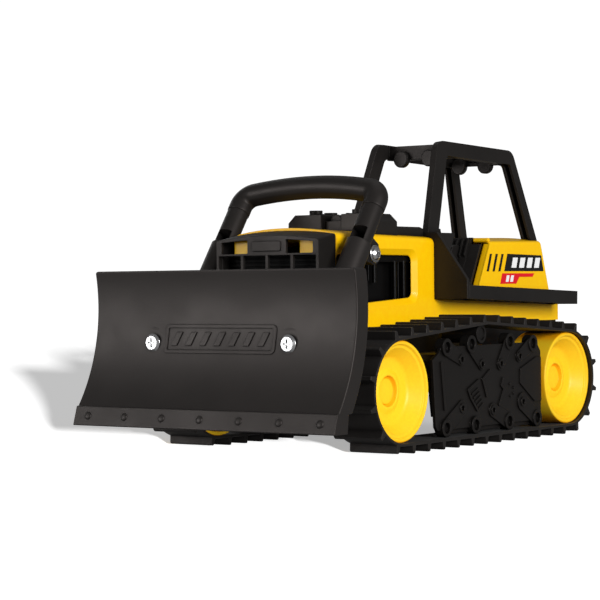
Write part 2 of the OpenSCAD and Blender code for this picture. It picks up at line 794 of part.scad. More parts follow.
// straight bars of half width w through the points, with round joints
module bars(points, w) {
  for (i = [0:len(points) - 2]) {
    link(points[i], points[i + 1], w, w);
    if (i > 0) translate(points[i]) circle(r = w + 0.15, $fn = 24);
  }
}
// flat shape raised on the plate's outer face
module relief(height) { along_x(plate_out - 0.1, plate_out + height) children(); }
module relief_dot(r, height, at) { rod_x(r, plate_out - 0.1, plate_out + height, at); }

module face_relief() {
  for (arm = boss_arms) {
    relief(1) link(large_bosses[arm[0]], small_bosses[arm[1]], 5.8, arm[2] - 0.2);
    relief_dot(arm[2], 1, small_bosses[arm[1]]);
  }
  // upright rib near the front edge
  relief(1) link([53.6, 59], [58, 25.8], 1, 1);
  relief(0.9) polygon(panel);
  for (points = bent_bars) relief(1) bars(points, 0.9);
  // hatched block
  for (i = [0:4])
    relief(0.7) link([93.4 + i * 2.2, 35 - i * 2.7], [102.4 + i * 1.6, 39 - i * 2.7], 0.55, 0.55);
  for (p = dots) relief_dot(0.9, 0.8, p);
}
// walls from the chassis out to the plate, with two upright ribs
module frame_walls() {
  difference() {
    along_x(frame_x, plate_in) polygon(wall_outer);
    along_x(frame_floor_x, plate_in + 0.1) polygon(wall_inner);
  }
  box([46, plate_in], [86, 88], [41, 63]);
  box([46, plate_in], [128, 130], [18, 63]);
}
module roller_bracket() {
  along_x(58, 60.8)
    polygon(rounded([[100, 62], [116, 62], [112.4, 81], [103.6, 81]], [0, 0, 4, 4]));
  rod_x(roller_pin_r, 60, 83.6, roller);
}
module track_frame() {
  color(soot) difference() {
    union() {
      along_x(plate_in, plate_out) polygon(plate);
      frame_walls();
      roller_bracket();
      // inward lip that guides the belt
      box([83, plate_in + 0.1], [57, 188], [9.2, 14]);
      for (p = large_bosses) rod_x(6.1, 85.2, 91.8, p);
      for (p = small_bosses) rod_x(3.4, 89, 91.7, p);
      face_relief();
    }
    for (p = large_bosses) rod_x(3.9, 89.2, 93, p);
    for (p = small_bosses) rod_x(1.9, 89.6, 93, p);
    for (p = frame_screws) {
      rod_x(pilot_r, 40, 60, p);
      rod_x(4, 49.4, 60, p);
    }
  }
}
module track_frame_screws() {
  color(steel) for (p = frame_screws) both() {
    rod_x(screw_r, 36, frame_floor_x, p);
    difference() {
      rod_x(2.9, frame_floor_x, 48.5, p);
      translate([47.9, p[0] - 2, p[1] - 0.4]) cube([2, 4, 0.8]);
    }
  }
}

// ---------- blade ----------
// centre [y, z] of the hollow face's arc, in front of the blade
blade_centre = [-72.5 - blade_r, 99];
// top of the cutting edge, and the face's y there
edge_z = 31.9;
edge_y = blade_centre[0]
  + sqrt(blade_r * blade_r - (edge_z - blade_centre[1]) * (edge_z - blade_centre[1]));
blade_hw = blade_w / 2;
// Y of the flat seats under the screw heads
screw_seat_y = -74.9;
head_t = 1.3;

// (Y, Z) band between two radii and two heights
module blade_band(r0, r1, z0, z1) {
  difference() {
    intersection() {
      translate(blade_centre) circle(r = r1, $fn = 180);
      translate([blade_centre[0] + 60, z0]) square([100, z1 - z0]);
    }
    translate(blade_centre) circle(r = r0, $fn = 180);
  }
}
// hollow of the back, with ribs and screw pads left standing
module blade_hollow() {
  difference() {
    along_x(-blade_hw + 3, blade_hw - 3)
      blade_band(blade_r + 3, blade_r + blade_depth + 9, edge_z + 1, blade_top - 3);
    for (x = [-84, -28, 28, 84]) box([x - 1.25, x + 1.25], [-110, -40], [20, 122]);
    for (z = [56, 93]) box([-blade_hw + 1, blade_hw - 1], [-110, -40], [z - 1.25, z + 1.25]);
    both() rod_y(10.5, -80, -40, blade_screw);
  }
}
// cutting edge with a row of studs
module cutting_edge() {
  along_x(-blade_hw, blade_hw)
    polygon([[edge_y - 1.3, edge_z], [-99.0, blade_gap + 0.6], [-98.6, blade_gap],
      [-84.2, blade_gap], [-82.6, edge_z]]);
  for (i = [-3:3])
    translate([i * 32, -96.6, 25.5]) rotate([72.6, 0, 0]) cylinder(r1 = 2.7, r2 = 2.0, h = 1.7);
}
// raised frame with slanted bars on the face
module face_emblem() {
  intersection() {
    along_x(-blade_hw, blade_hw) blade_band(blade_r - 1.0, blade_r + 0.5, 60, 100);
    union() {
      difference() {
        along_y(-100, -60) polygon(rounded([[-46, 68], [46, 68], [46, 87], [-46, 87]], 3));
        along_y(-101, -59)
          polygon(rounded([[-43.6, 70.4], [43.6, 70.4], [43.6, 84.6], [-43.6, 84.6]], 1.5));
      }
      for (i = [-3:3])
        along_y(-100, -60) polygon([[i * 12 - 4.6, 73], [i * 12 + 0.4, 73],
          [i * 12 + 4.6, 82], [i * 12 - 0.4, 82]]);
    }
  }
}
module blade() {
  color(black) difference() {
    union() {
      difference() {
        along_x(-blade_hw, blade_hw)
          blade_band(blade_r, blade_r + blade_depth, edge_z - 1, blade_top);
        blade_hollow();
      }
      cutting_edge();
      face_emblem();
    }
    // screw holes, flat seats in front and flat pads behind
    both() {
      rod_y(2.6, -90, -60, blade_screw);
      rod_y(6.6, -90, screw_seat_y, blade_screw);
      rod_y(10.6, -64, -40, blade_screw);
    }
  }
}
module blade_screws() {
  x = blade_screw[0];
  z = blade_screw[1];
  color(steel) both() {
    difference() {
      union() {
        rod_y(6.2, screw_seat_y - head_t, screw_seat_y, blade_screw);
        translate([x, screw_seat_y - head_t, z]) rotate([90, 0, 0])
          cylinder(r1 = 6.2, r2 = 4.6, h = head_t);
      }
      for (s = [[3, 0.6], [0.6, 3]]) box([x - s[0], x + s[0]], [-79, -76.7], [z - s[1], z + s[1]]);
    }
    rod_y(2.5, screw_seat_y, -55, blade_screw);
  }
}

// ---------- lift frame ----------
tube_r = 7.6;
tube_z = 118;
socket_r = 9;
socket_z = 112;
socket_top = 139.5;
// heights where the arm tubes meet the grip, and of the grip's crown
seam_z = 163.5;
grip_z = 180.5;
// a point on the arm tube's centre line at height z
function arm_y(z) = 1.9 + (z - 136.5) * tan(arm_lean);
// length along the tube between two heights
function arm_len(z0, z1) = (z1 - z0) / cos(arm_lean);
// leaning frame: z along the tube, origin on its centre line at height z0
module arm_frame(x, z0) { translate([x, arm_y(z0), z0]) rotate([-arm_lean, 0, 0]) children(); }
// outlines in (Y, Z) of the web down to the blade, its flange and the pivot bracket
web = [[-23, 118], [-10, 119], [-32, 84], [-42, 66], [-56, 66], [-62, 70],
  [-62, 82], [-48, 92]];
web_flange = [[-23, 118], [-20.6, 117], [-45.6, 90.4], [-60, 80.4], [-62, 82], [-48, 92]];
pivot_bracket = [[4, 139], [13, 148.5], [19, 146], [28.6, 139.5], [29.5, 130],
  [24, 126], [16, 127.4], [6, 131]];

module push_arm() {
  color(black) difference() {
    union() {
      arm_frame(arm_x, socket_z) cylinder(r = socket_r, h = arm_len(socket_z, socket_top));
      along_x(50.6, 57.6) polygon(web);
      along_x(50.5, 64) polygon(web_flange);
      rod_y(9.6, -64, -53, blade_screw);
    }
    arm_frame(arm_x, tube_z) cylinder(r = tube_r + 0.02, h = 60);
    rod_y(2.54, -70, -54, blade_screw);
  }
}
module handle_arm() {
  color(black) difference() {
    union() {
      arm_frame(arm_x, tube_z) cylinder(r = tube_r, h = arm_len(tube_z, seam_z));
      // bracket, cut round the socket of the push arm
      difference() {
        along_x(50.4, 57) polygon(pivot_bracket);
        arm_frame(arm_x, socket_z)
          cylinder(r = socket_r + 0.05, h = arm_len(socket_z, socket_top) + 0.05);
      }
      rod_x(7.4, 50.0, 57.2, pivot);
    }
    // snap window, open to the front
    arm_frame(arm_x, 139.6) translate([-5.8, -12, 0]) cube([11.6, 16, arm_len(139.6, 148.1)]);
    rod_x(running_bore, 40, 70, pivot);
  }
}
module pivot_screws() {
  y = pivot[0];
  z = pivot[1];
  color(steel) both() {
    rod_x(axle_r, 36, 58.3, pivot);
    difference() {
      union() {
        rod_x(4.4, 58.3, 59.5, pivot);
        translate([59.5, y, z]) rotate([0, 90, 0]) cylinder(r1 = 4.4, r2 = 2.9, h = 1.1);
      }
      for (s = [[2.2, 0.5], [0.5, 2.2]])
        box([59.2, 62.2], [y - s[0], y + s[0]], [z - s[1], z + s[1]]);
    }
  }
}
module pivot_washers() {
  color(steel) both() difference() {
    rod_x(5.9, 57.4, 58.3, pivot);
    rod_x(axle_r, 50, 70, pivot);
  }
}
// grip: two short sleeves, two bends and a crowned bar, in the arms' plane
module handle_grip() {
  bend_r = 10;
  bend_x = arm_x - bend_r;
  top = arm_len(seam_z, grip_z);
  crown_angle = asin(bend_x / (crown_r - bend_r));
  bend_z = top - crown_r + (crown_r - bend_r) * cos(crown_angle);
  bend_turns = [for (i = [0:5]) i * (90 - crown_angle) / 5];
  // stations: [across, along the arms, turn]
  path = concat(
    [[arm_x, 0, 0]],
    [for (t = bend_turns) [bend_x + bend_r * cos(t), bend_z + bend_r * sin(t), t]],
    [for (i = [1:6])
      let (a = crown_angle * (1 - i / 3.5))
      [crown_r * sin(a), top - crown_r + crown_r * cos(a), 90 - a]],
    [for (i = [5:-1:0])
      let (t = bend_turns[i])
      [-bend_x - bend_r * cos(t), bend_z + bend_r * sin(t), 180 - t]],
    [[-arm_x, 0.02, 180]]);
  color(black) arm_frame(0, seam_z)
    for (i = [0:len(path) - 2]) hull() for (p = [path[i], path[i + 1]])
      translate([p[0], 0, p[1]]) rotate([0, -p[2], 0]) cylinder(r = grip_r, h = 0.02, $fn = 32);
}

at_frame() body_shell();
at_frame() chassis();
at_frame() grille_frame();
at_frame() radiator_panel();
at_frame() engine_block();
at_frame() engine_top_cover();
at_frame() cab_deck();
at_frame() seat();
at_frame() rear_cover();
at_frame() rops_frame();
at_frame() work_lamps_front();
at_frame() work_lamps_rear();
at_frame() label_panels();
at_frame() label_red();
at_frame() front_axle();
at_frame() rear_axle();
at_frame() axle_push_nuts();
at_frame() mirror([1, 0, 0]) track_frame();  // track_frame_left
at_frame() track_frame();  // track_frame_right
at_frame() mirror([1, 0, 0]) belt();  // track_belt_left
at_frame() belt();  // track_belt_right
at_frame() pivot_screws();
at_frame() pivot_washers();
at_frame() chassis_screws();
at_frame() track_frame_screws();
at_frame() blade();
at_frame() blade_screws();
at_frame() mirror([1, 0, 0]) push_arm();  // push_arm_left
at_frame() push_arm();  // push_arm_right
at_frame() mirror([1, 0, 0]) handle_arm();  // handle_arm_left
at_frame() handle_arm();  // handle_arm_right
at_frame() handle_grip();
at_frame() mirror([1, 0, 0]) wheel(front_hub);  // wheel_front_left
at_frame() wheel(front_hub);  // wheel_front_right
at_frame() mirror([1, 0, 0]) wheel(rear_hub);  // wheel_rear_left
at_frame() wheel(rear_hub);  // wheel_rear_right
at_frame() mirror([1, 0, 0]) hub_cap(front_hub);  // hub_cap_front_left
at_frame() hub_cap(front_hub);  // hub_cap_front_right
at_frame() mirror([1, 0, 0]) hub_cap(rear_hub);  // hub_cap_rear_left
at_frame() hub_cap(rear_hub);  // hub_cap_rear_right
at_frame() mirror([1, 0, 0]) carrier_roller();  // carrier_roller_left
at_frame() carrier_roller();  // carrier_roller_right
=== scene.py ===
"""A toy tracked loader with a front blade and a lift handle.

+Z is up, the front (the blade end) faces -Y and the right side is +X. Sizes are in
millimetres, with y measured from the front axle, until place() turns them into metres.
"""
import math

import bmesh
import bpy
from mathutils import Matrix, Vector


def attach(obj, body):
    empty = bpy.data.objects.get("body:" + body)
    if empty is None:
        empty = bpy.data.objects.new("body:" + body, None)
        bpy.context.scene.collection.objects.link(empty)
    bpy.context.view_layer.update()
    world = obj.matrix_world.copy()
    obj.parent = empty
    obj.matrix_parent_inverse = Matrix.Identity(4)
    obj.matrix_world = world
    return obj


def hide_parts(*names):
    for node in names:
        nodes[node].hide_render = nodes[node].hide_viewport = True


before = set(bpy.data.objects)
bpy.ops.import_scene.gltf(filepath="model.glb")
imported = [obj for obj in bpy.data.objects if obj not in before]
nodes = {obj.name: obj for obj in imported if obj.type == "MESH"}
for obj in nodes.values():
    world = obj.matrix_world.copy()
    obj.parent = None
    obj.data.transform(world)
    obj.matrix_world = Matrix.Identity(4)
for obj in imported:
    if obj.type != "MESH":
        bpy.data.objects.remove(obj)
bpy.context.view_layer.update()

MM = 0.001
MIDDLE_Y = 101.7  # from the front axle back to the middle of the length
AXLE_Z = 41.4
REAR_AXLE_Y = 226.5
AXLES = (("front", 0.0), ("rear", REAR_AXLE_Y))
SIDES = (("left", -1), ("right", 1))


def place(x, y, z):
    """Millimetres from the front axle -> metres in the frame."""
    return Vector((x * MM, (y - MIDDLE_Y) * MM, z * MM))


def steps(start, stop, count):
    """Evenly spaced values from start to stop, both included."""
    return [start + (stop - start) * k / count for k in range(count + 1)]


def turn(count):
    """Angles of one full turn."""
    return [2 * math.pi * k / count for k in range(count)]


# ------------------------------------------------------------------ node graphs
class Graph:
    """Adds nodes to an emptied node tree."""

    def __init__(self, tree):
        self.tree = tree
        tree.nodes.clear()

    def feed(self, socket, value):
        """Link an output into the socket, or set its value (colours without alpha)."""
        if isinstance(value, bpy.types.NodeSocket):
            self.tree.links.new(value, socket)
        elif socket.type == "RGBA":
            socket.default_value = (*value, 1.0)
        else:
            socket.default_value = value

    def node(self, kind, inputs=None, **settings):
        node = self.tree.nodes.new(kind)
        for key, value in settings.items():
            setattr(node, key, value)
        for key, value in (inputs or {}).items():
            self.feed(node.inputs[key], value)
        return node


class Surface(Graph):
    """A new material's node tree, with the steps its textures are made of."""

    def __init__(self, name):
        self.material = bpy.data.materials.new(name)
        self.material.use_nodes = True
        super().__init__(self.material.node_tree)
        self.output = self.node("ShaderNodeOutputMaterial")
        self.coordinates = self.node("ShaderNodeTexCoord").outputs["Object"]

    def noise(self, scale, detail, roughness=0.55, stretch=None):
        vector = self.coordinates
        if stretch:
            mapping = self.node("ShaderNodeMapping", {0: vector, "Scale": stretch})
            vector = mapping.outputs[0]
        return self.node("ShaderNodeTexNoise", {
            "Scale": scale, "Detail": detail, "Roughness": roughness, "Vector": vector,
        }).outputs["Fac"]

    def ramp(self, value, between=(0.0, 1.0), to=(0.0, 1.0)):
        return self.node("ShaderNodeMapRange", {
            "From Min": between[0], "From Max": between[1],
            "To Min": to[0], "To Max": to[1], "Value": value,
        }).outputs[0]

    def mix(self, factor, first, second):
        mix = self.node("ShaderNodeMix", data_type="RGBA", clamp_factor=True)
        for index, value in ((6, first), (7, second), (0, factor)):
            self.feed(mix.inputs[index], value)
        return mix.outputs[2]

    def calc(self, operation, first, second):
        return self.node("ShaderNodeMath", {0: first, 1: second}, operation=operation).outputs[0]

    def times(self, first, second):
        return self.calc("MULTIPLY", first, second)


# ------------------------------------------------------------------ materials
def shade(color, factor, lift=0.0):
    return tuple(min(1.0, c * factor + lift) for c in color)


def plastic(name, *, base, rough, vary, grain, mottle, radius, grain_scale=2600.0,
            grain_depth=0.00004, metal=0.0, coat=0.0, coat_rough=0.1, edge=0.0,
            edge_wear_highlight_color=None, dust=0.0, scratch=0.0, spec=0.5, spec_tint=(1.0, 1.0, 1.0),
            rough_vary=0.10, sheen=0.0, crevice_shade=0.0, crevice_shade_color=None, crevice_shade_size=0.003):
    """Moulded, painted or metal surface, textured from coordinates.

    vary, mottle          strength and scale of the colour mottling
    grain, _scale, _depth strength, scale and height (m) of the fine bumps
    radius                width of the shaded rounding on edges, m
    edge, dust, scratch   amounts of edge wear with a painted edge highlight, of dust and of hairlines
    crevice_shade, _size  painted shade darkening crevices, and its reach, m
    """
    g = Surface(name)
    bsdf = g.node("ShaderNodeBsdfPrincipled", {
        "Metallic": metal, "Specular IOR Level": spec, "Specular Tint": spec_tint})
    g.feed(g.output.inputs[0], bsdf.outputs[0])
    rounded = g.node("ShaderNodeBevel", {"Radius": radius}, samples=6).outputs[0]
    if edge or dust:
        normal = g.node("ShaderNodeNewGeometry").outputs["Normal"]

    # broad mottling, then fine specks
    broad = g.ramp(g.noise(scale=mottle, detail=4.0), between=(0.32, 0.68))
    color = g.mix(broad, shade(base, 1 - vary), shade(base, 1 + vary))
    specks = g.ramp(g.noise(scale=grain_scale * 0.35, detail=2.0),
                    between=(0.4, 0.8), to=(0.0, 0.35))
    color = g.mix(specks, color, shade(base, 1.25, lift=0.002))
    roughness = g.ramp(g.noise(scale=mottle * 2.3, detail=5.0), between=(0.3, 0.7),
                       to=(rough - rough_vary * 0.5, rough + rough_vary * 0.5))

    if edge:  # edge wear with a painted highlight: lighter in patches where the rounded normal leaves the true one
        dot = g.node("ShaderNodeVectorMath", {0: rounded, 1: normal}, operation="DOT_PRODUCT")
        on_edge = g.ramp(g.calc("SUBTRACT", 1.0, dot.outputs["Value"]), between=(0.02, 0.25))
        patches = g.ramp(g.noise(scale=150.0, detail=4.0), between=(0.3, 0.7), to=(0.15, 1.0))
        worn_and_highlit = g.times(on_edge, patches)
        color = g.mix(g.times(worn_and_highlit, edge), color, edge_wear_highlight_color or shade(base, 1.7, lift=0.012))
        roughness = g.calc("SUBTRACT", roughness, g.times(worn_and_highlit, 0.12 * edge))

    if dust:  # settles on faces that look up
        height = g.node("ShaderNodeSeparateXYZ", {0: normal}).outputs["Z"]
        upward = g.ramp(height, between=(0.2, 0.95))
        clumps = g.ramp(g.noise(scale=60.0, detail=6.0, roughness=0.7),
                        between=(0.35, 0.75), to=(0.2, 1.0))
        veil = g.times(g.times(upward, clumps), dust)
        color = g.mix(veil, color, (0.34, 0.32, 0.30))
        roughness = g.calc("ADD", roughness, g.times(veil, 0.35))

    if scratch:  # long thin streaks, only in patches
        streaks = g.noise(scale=1.0, detail=2.0, roughness=0.5, stretch=(90.0, 900.0, 2400.0))
        streaks = g.ramp(streaks, between=(0.66, 0.74))
        patches = g.ramp(g.noise(scale=26.0, detail=3.0), between=(0.5, 0.62))
        lines = g.times(g.times(streaks, patches), scratch)
        color = g.mix(lines, color, shade(base, 2.2, lift=0.02))

    if crevice_shade:  # painted shade: an occlusion mask darkens crevices and cuts their shine
        occlusion = g.node("ShaderNodeAmbientOcclusion", {"Distance": crevice_shade_size}, samples=6)
        crevice_shade_mask = g.ramp(occlusion.outputs["AO"], between=(0.35, 0.95), to=(1.0, 0.0))
        crevice_shade_mask = g.times(crevice_shade_mask, crevice_shade)
        color = g.mix(crevice_shade_mask, color, crevice_shade_color or shade(base, 0.25))
        shine = g.calc("SUBTRACT", 1.0, g.times(crevice_shade_mask, 0.8))
        g.feed(bsdf.inputs["Specular IOR Level"], g.times(shine, spec))

    bump = g.node("ShaderNodeBump", {
        "Strength": grain, "Distance": grain_depth,
        "Height": g.noise(scale=grain_scale, detail=2.0), "Normal": rounded})
    g.feed(bsdf.inputs["Normal"], bump.outputs[0])
    g.feed(bsdf.inputs["Base Color"], color)
    g.feed(bsdf.inputs["Roughness"], g.calc("MAXIMUM", roughness, 0.04))
    if coat:
        g.feed(bsdf.inputs["Coat Weight"], coat)
        g.feed(bsdf.inputs["Coat Roughness"], coat_rough)
        g.feed(bsdf.inputs["Coat Normal"], rounded)
    if sheen:
        g.feed(bsdf.inputs["Sheen Weight"], sheen)
        g.feed(bsdf.inputs["Sheen Roughness"], 0.4)
    return g.material


WARM_SHINE = (1.0, 0.90, 0.86)
LABEL = dict(rough=0.34, grain=0.05, mottle=30.0, radius=0.0001, coat=0.06, spec=0.2)
# the crevice darkening set in this table is painted shade, with its own colour per material
# the edge colours set in this table are lighter edge wear with a painted highlight
SURFACES = {
    "body_yellow": dict(
        base=(0.99, 0.548, 0.0008), rough=0.36, rough_vary=0.06, vary=0.02, mottle=9.0,
        grain=0.10, grain_scale=900.0, grain_depth=0.00005, coat=0.10, coat_rough=0.08,
        edge=0.45, edge_wear_highlight_color=(1.0, 0.66, 0.08), radius=0.0008, spec=0.16,
        crevice_shade=0.5, crevice_shade_color=(0.62, 0.22, 0.0), crevice_shade_size=0.005),
    "wheel_yellow": dict(
        base=(1.0, 0.61, 0.017), rough=0.42, rough_vary=0.06, vary=0.02, mottle=14.0,
        grain=0.12, grain_scale=1500.0, grain_depth=0.00003, coat=0.06, coat_rough=0.2,
        edge=0.5, edge_wear_highlight_color=(1.0, 0.78, 0.14), radius=0.0005, spec=0.22,
        crevice_shade=0.85, crevice_shade_color=(0.98, 0.36, 0.0), crevice_shade_size=0.009),
    "trim_black": dict(
        base=(0.0095, 0.0085, 0.0079), rough=0.46, vary=0.18, mottle=22.0,
        grain=0.5, grain_scale=2200.0, edge=0.7, radius=0.0007, dust=0.012,
        spec=0.26, spec_tint=WARM_SHINE, crevice_shade=0.8, crevice_shade_size=0.004),
    "blade_black": dict(
        base=(0.0135, 0.0119, 0.0112), rough=0.46, vary=0.10, mottle=12.0,
        grain=0.6, grain_scale=2400.0, edge=0.8, radius=0.0007, dust=0.01, scratch=0.30,
        spec=0.33, spec_tint=WARM_SHINE, crevice_shade=0.8, crevice_shade_size=0.0022),
    "handle_black": dict(
        base=(0.0110, 0.0098, 0.0092), rough=0.44, vary=0.15, mottle=18.0,
        grain=0.5, grain_scale=2400.0, edge=0.5, radius=0.0006, dust=0.01,
        spec=0.27, spec_tint=WARM_SHINE, crevice_shade=0.9, crevice_shade_size=0.006),
    "undercarriage_black": dict(
        base=(0.0060, 0.0053, 0.0049), rough=0.42, vary=0.2, mottle=25.0,
        grain=0.5, grain_scale=2000.0, edge=0.9, radius=0.0006, dust=0.01,
        spec=0.26, spec_tint=WARM_SHINE,
        crevice_shade=1.0, crevice_shade_color=(0.0008, 0.0007, 0.0006), crevice_shade_size=0.0022),
    "engine_black": dict(
        base=(0.0028, 0.0026, 0.0026), rough=0.30, vary=0.2, mottle=30.0,
        grain=0.25, grain_scale=1600.0, edge=0.5, radius=0.0005,
        spec=0.09, crevice_shade=0.9, crevice_shade_size=0.008),
    "radiator_black": dict(
        base=(0.0020, 0.0018, 0.0017), rough=0.62, vary=0.2, mottle=30.0,
        grain=0.4, grain_scale=1800.0, edge=0.3, radius=0.0004,
        spec=0.08, crevice_shade=0.9, crevice_shade_size=0.008),
    "belt_rubber": dict(
        base=(0.0118, 0.0106, 0.0099), rough=0.50, vary=0.2, mottle=40.0,
        grain=0.5, grain_scale=1800.0, edge=0.9, radius=0.0005, dust=0.012, sheen=0.02,
        spec=0.30, spec_tint=WARM_SHINE, crevice_shade=0.8, crevice_shade_size=0.003),
    "label_black": dict(base=(0.008, 0.008, 0.008), vary=0.05, **LABEL),
    "label_red": dict(base=(0.74, 0.010, 0.018), vary=0.04, **LABEL),
    "label_white": dict(base=(0.90, 0.90, 0.90), vary=0.03, **LABEL),
    "axle_steel": dict(
        base=(0.55, 0.55, 0.56), metal=1.0, rough=0.34, vary=0.08, mottle=60.0,
        grain=0.2, radius=0.0003),
    "bright_zinc": dict(
        base=(0.76, 0.76, 0.77), metal=1.0, rough=0.24, rough_vary=0.08, vary=0.05,
        mottle=80.0, grain=0.10, radius=0.0003,
        crevice_shade=0.7, crevice_shade_color=(0.12, 0.12, 0.12), crevice_shade_size=0.0015),
}
MATERIALS = {name: plastic(name, **look) for name, look in SURFACES.items()}


# ------------------------------------------------------------------ modifiers
def tidy_group(merge_distance=0.000004, sharp_angle=32.0):
    """Weld close points (m), shade smooth and keep edges over the angle (degrees) sharp."""
    tree = bpy.data.node_groups.new("tidy", "GeometryNodeTree")
    for direction in ("INPUT", "OUTPUT"):
        tree.interface.new_socket("Geometry", in_out=direction,
                                  socket_type="NodeSocketGeometry")
    g = Graph(tree)
    source = g.node("NodeGroupInput")
    merged = g.node("GeometryNodeMergeByDistance",
                    {"Geometry": source.outputs[0], "Distance": merge_distance})
    smooth = g.node("GeometryNodeSetShadeSmooth",
                    {"Geometry": merged.outputs[0], "Shade Smooth": True}, domain="FACE")
    angle = g.node("GeometryNodeInputMeshEdgeAngle").outputs["Unsigned Angle"]
    is_sharp = g.node("FunctionNodeCompare", data_type="FLOAT", operation="GREATER_THAN")
    g.feed(is_sharp.inputs[0], angle)
    g.feed(is_sharp.inputs[1], math.radians(sharp_angle))
    creased = g.node("GeometryNodeSetShadeSmooth", {
        "Geometry": smooth.outputs[0], "Selection": is_sharp.outputs[0],
        "Shade Smooth": False}, domain="EDGE")
    g.node("NodeGroupOutput", {0: creased.outputs[0]})
    return tree


TIDY = tidy_group()


def add_shading(piece):
    """Tidy the mesh, then weight its normals by face area."""
    piece.modifiers.new("tidy", "NODES").node_group = TIDY
    normals = piece.modifiers.new("normals", "WEIGHTED_NORMAL")
    normals.keep_sharp = True
    normals.weight = 90


# ------------------------------------------------------------------ CAD pieces
CAD_PIECES = {  # material: the CAD pieces that wear it
    "body_yellow": ("body_shell", "rear_cover"),
    "wheel_yellow": [f"{part}_{end}_{side}" for part in ("wheel", "hub_cap")
                     for end, _ in AXLES for side, _ in SIDES],
    "trim_black": ("grille_frame", "engine_top_cover", "cab_deck", "seat", "rops_frame",
                   "work_lamps_front", "work_lamps_rear"),
    "undercarriage_black": ("chassis", "track_frame_left", "track_frame_right",
                            "carrier_roller_left", "carrier_roller_right"),
    "radiator_black": ("radiator_panel",),
    "engine_black": ("engine_block",),
    "label_black": ("label_panels",),
    "label_red": ("label_red",),
    "axle_steel": ("front_axle", "rear_axle", "axle_push_nuts", "chassis_screws",
                   "track_frame_screws"),
    "bright_zinc": ("pivot_screws", "pivot_washers", "blade_screws"),
    "belt_rubber": ("track_belt_left", "track_belt_right"),
    "blade_black": ("blade", "push_arm_left", "push_arm_right"),
    "handle_black": ("handle_arm_left", "handle_arm_right", "handle_grip"),
}
MATERIAL_OF = {piece: name for name, pieces in CAD_PIECES.items() for piece in pieces}

for name, piece in nodes.items():
    if "custom_normal" in piece.data.attributes:
        piece.data.attributes.remove(piece.data.attributes["custom_normal"])
    piece.data.materials.clear()
    piece.data.materials.append(MATERIALS[MATERIAL_OF[name]])
    add_shading(piece)


# ------------------------------------------------------------------ mesh helpers
def add_object(name, data):
    made = bpy.data.objects.new(name, data)
    bpy.context.scene.collection.objects.link(made)
    return made


def add_piece(name, mesh, slot, body, replaces=(), bevel=0.0, segments=2,
              by_weight=False, material=None):
    """Turn a bmesh into a finished piece; bevel is in millimetres."""
    bmesh.ops.remove_doubles(mesh, verts=mesh.verts, dist=1e-7)
    bmesh.ops.recalc_face_normals(mesh, faces=mesh.faces)
    data = bpy.data.meshes.new(name)
    mesh.to_mesh(data)
    mesh.free()
    piece = add_object(name, data)
    for polygon in data.polygons:
        polygon.use_smooth = True
    data.materials.append(MATERIALS[material or slot])
    if bevel:
        edges = piece.modifiers.new("edges", "BEVEL")
        edges.width = bevel * MM
        edges.segments = segments
        edges.limit_method = "WEIGHT" if by_weight else "ANGLE"
        edges.angle_limit = math.radians(30.0)
        edges.use_clamp_overlap = True
        edges.miter_outer = "MITER_ARC"
    add_shading(piece)
    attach(piece, body)
    if replaces:
        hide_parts(*replaces)


def add_ring(mesh, points):
    return [mesh.verts.new(point) for point in points]


def bridge(mesh, first, second):
    """Faces between two rings; a ring of one vertex is a tip."""
    count = max(len(first), len(second))
    for i in range(count):
        j = (i + 1) % count
        if len(first) == 1:
            mesh.faces.new((first[0], second[j], second[i]))
        elif len(second) == 1:
            mesh.faces.new((first[i], first[j], second[0]))
        else:
            mesh.faces.new((first[i], first[j], second[j], second[i]))


def loft(mesh, rings):
    """Bridge the rings in turn and cap both ends."""
    for first, second in zip(rings, rings[1:]):
        bridge(mesh, first, second)
    mesh.faces.new(rings[0][::-1])
    mesh.faces.new(rings[-1])


def prism_x(outline, x_start, x_end, spans=1):
    """A (y, z) outline pushed along x."""
    mesh = bmesh.new()
    loft(mesh, [add_ring(mesh, [place(x, y, z) for y, z in outline])
                for x in steps(x_start, x_end, spans)])
    return mesh


def lathe_x(profile, face_x, sign, center_y, center_z, count, closed=True):
    """A (radius, depth inward from face_x) profile turned about an axis along x."""
    mesh = bmesh.new()
    rings = []
    for radius, depth in profile:
        x = sign * (face_x - depth)
        if radius == 0:
            rings.append(add_ring(mesh, [place(x, center_y, center_z)]))
        else:
            rings.append(add_ring(mesh, [
                place(x, center_y + radius * math.cos(a), center_z + radius * math.sin(a))
                for a in turn(count)]))
    following = rings[1:] + rings[:1] if closed else rings[1:]
    for first, second in zip(rings, following):
        bridge(mesh, first, second)
    return mesh


# ------------------------------------------------------------------ wheels
WHEEL_FACE_X = 93.0
WHEEL_PROFILE = (  # (radius, depth inward from the wheel face)
    # outer rim
    (34.0, 1.2), (33.7, 0.45), (33.0, 0.0), (32.1, 0.0), (31.5, 0.25), (31.1, 1.0),
    (30.6, 1.75), (29.8, 2.1), (29.0, 2.25),
    # dish
    (26.2, 5.9), (23.6, 9.15), (22.8, 10.0), (21.7, 10.7), (20.6, 11.0),
    # raised ring around the cap
    (15.8, 11.65), (15.3, 11.6), (14.8, 11.35), (12.5, 10.35), (12.0, 10.1), (11.4, 10.0),
    (10.8, 10.0), (10.45, 10.2), (10.25, 10.7), (10.1, 11.6), (9.8, 12.6), (9.35, 13.1),
    (9.05, 13.2), (9.05, 14.6),
    # cap seat, bore and hub
    (7.6, 14.6), (7.6, 16.4), (3.06, 16.4), (3.06, 34.6), (7.5, 34.6), (7.5, 26.0),
    (10.6, 15.6),
    # back of the dish and inside of the rim
    (21.6, 13.8), (24.6, 12.4), (30.9, 5.2), (31.4, 5.6), (31.4, 33.2), (31.8, 33.6),
    (33.6, 33.6), (34.0, 33.2),
)
CAP_PROFILE = (  # (radius, depth inward from the wheel face)
    (0.0, 12.1), (7.9, 12.1), (8.45, 12.2), (8.8, 12.5), (9.0, 13.0), (9.0, 14.55),
    (7.7, 14.55), (7.3, 13.8), (0.0, 13.8),
)

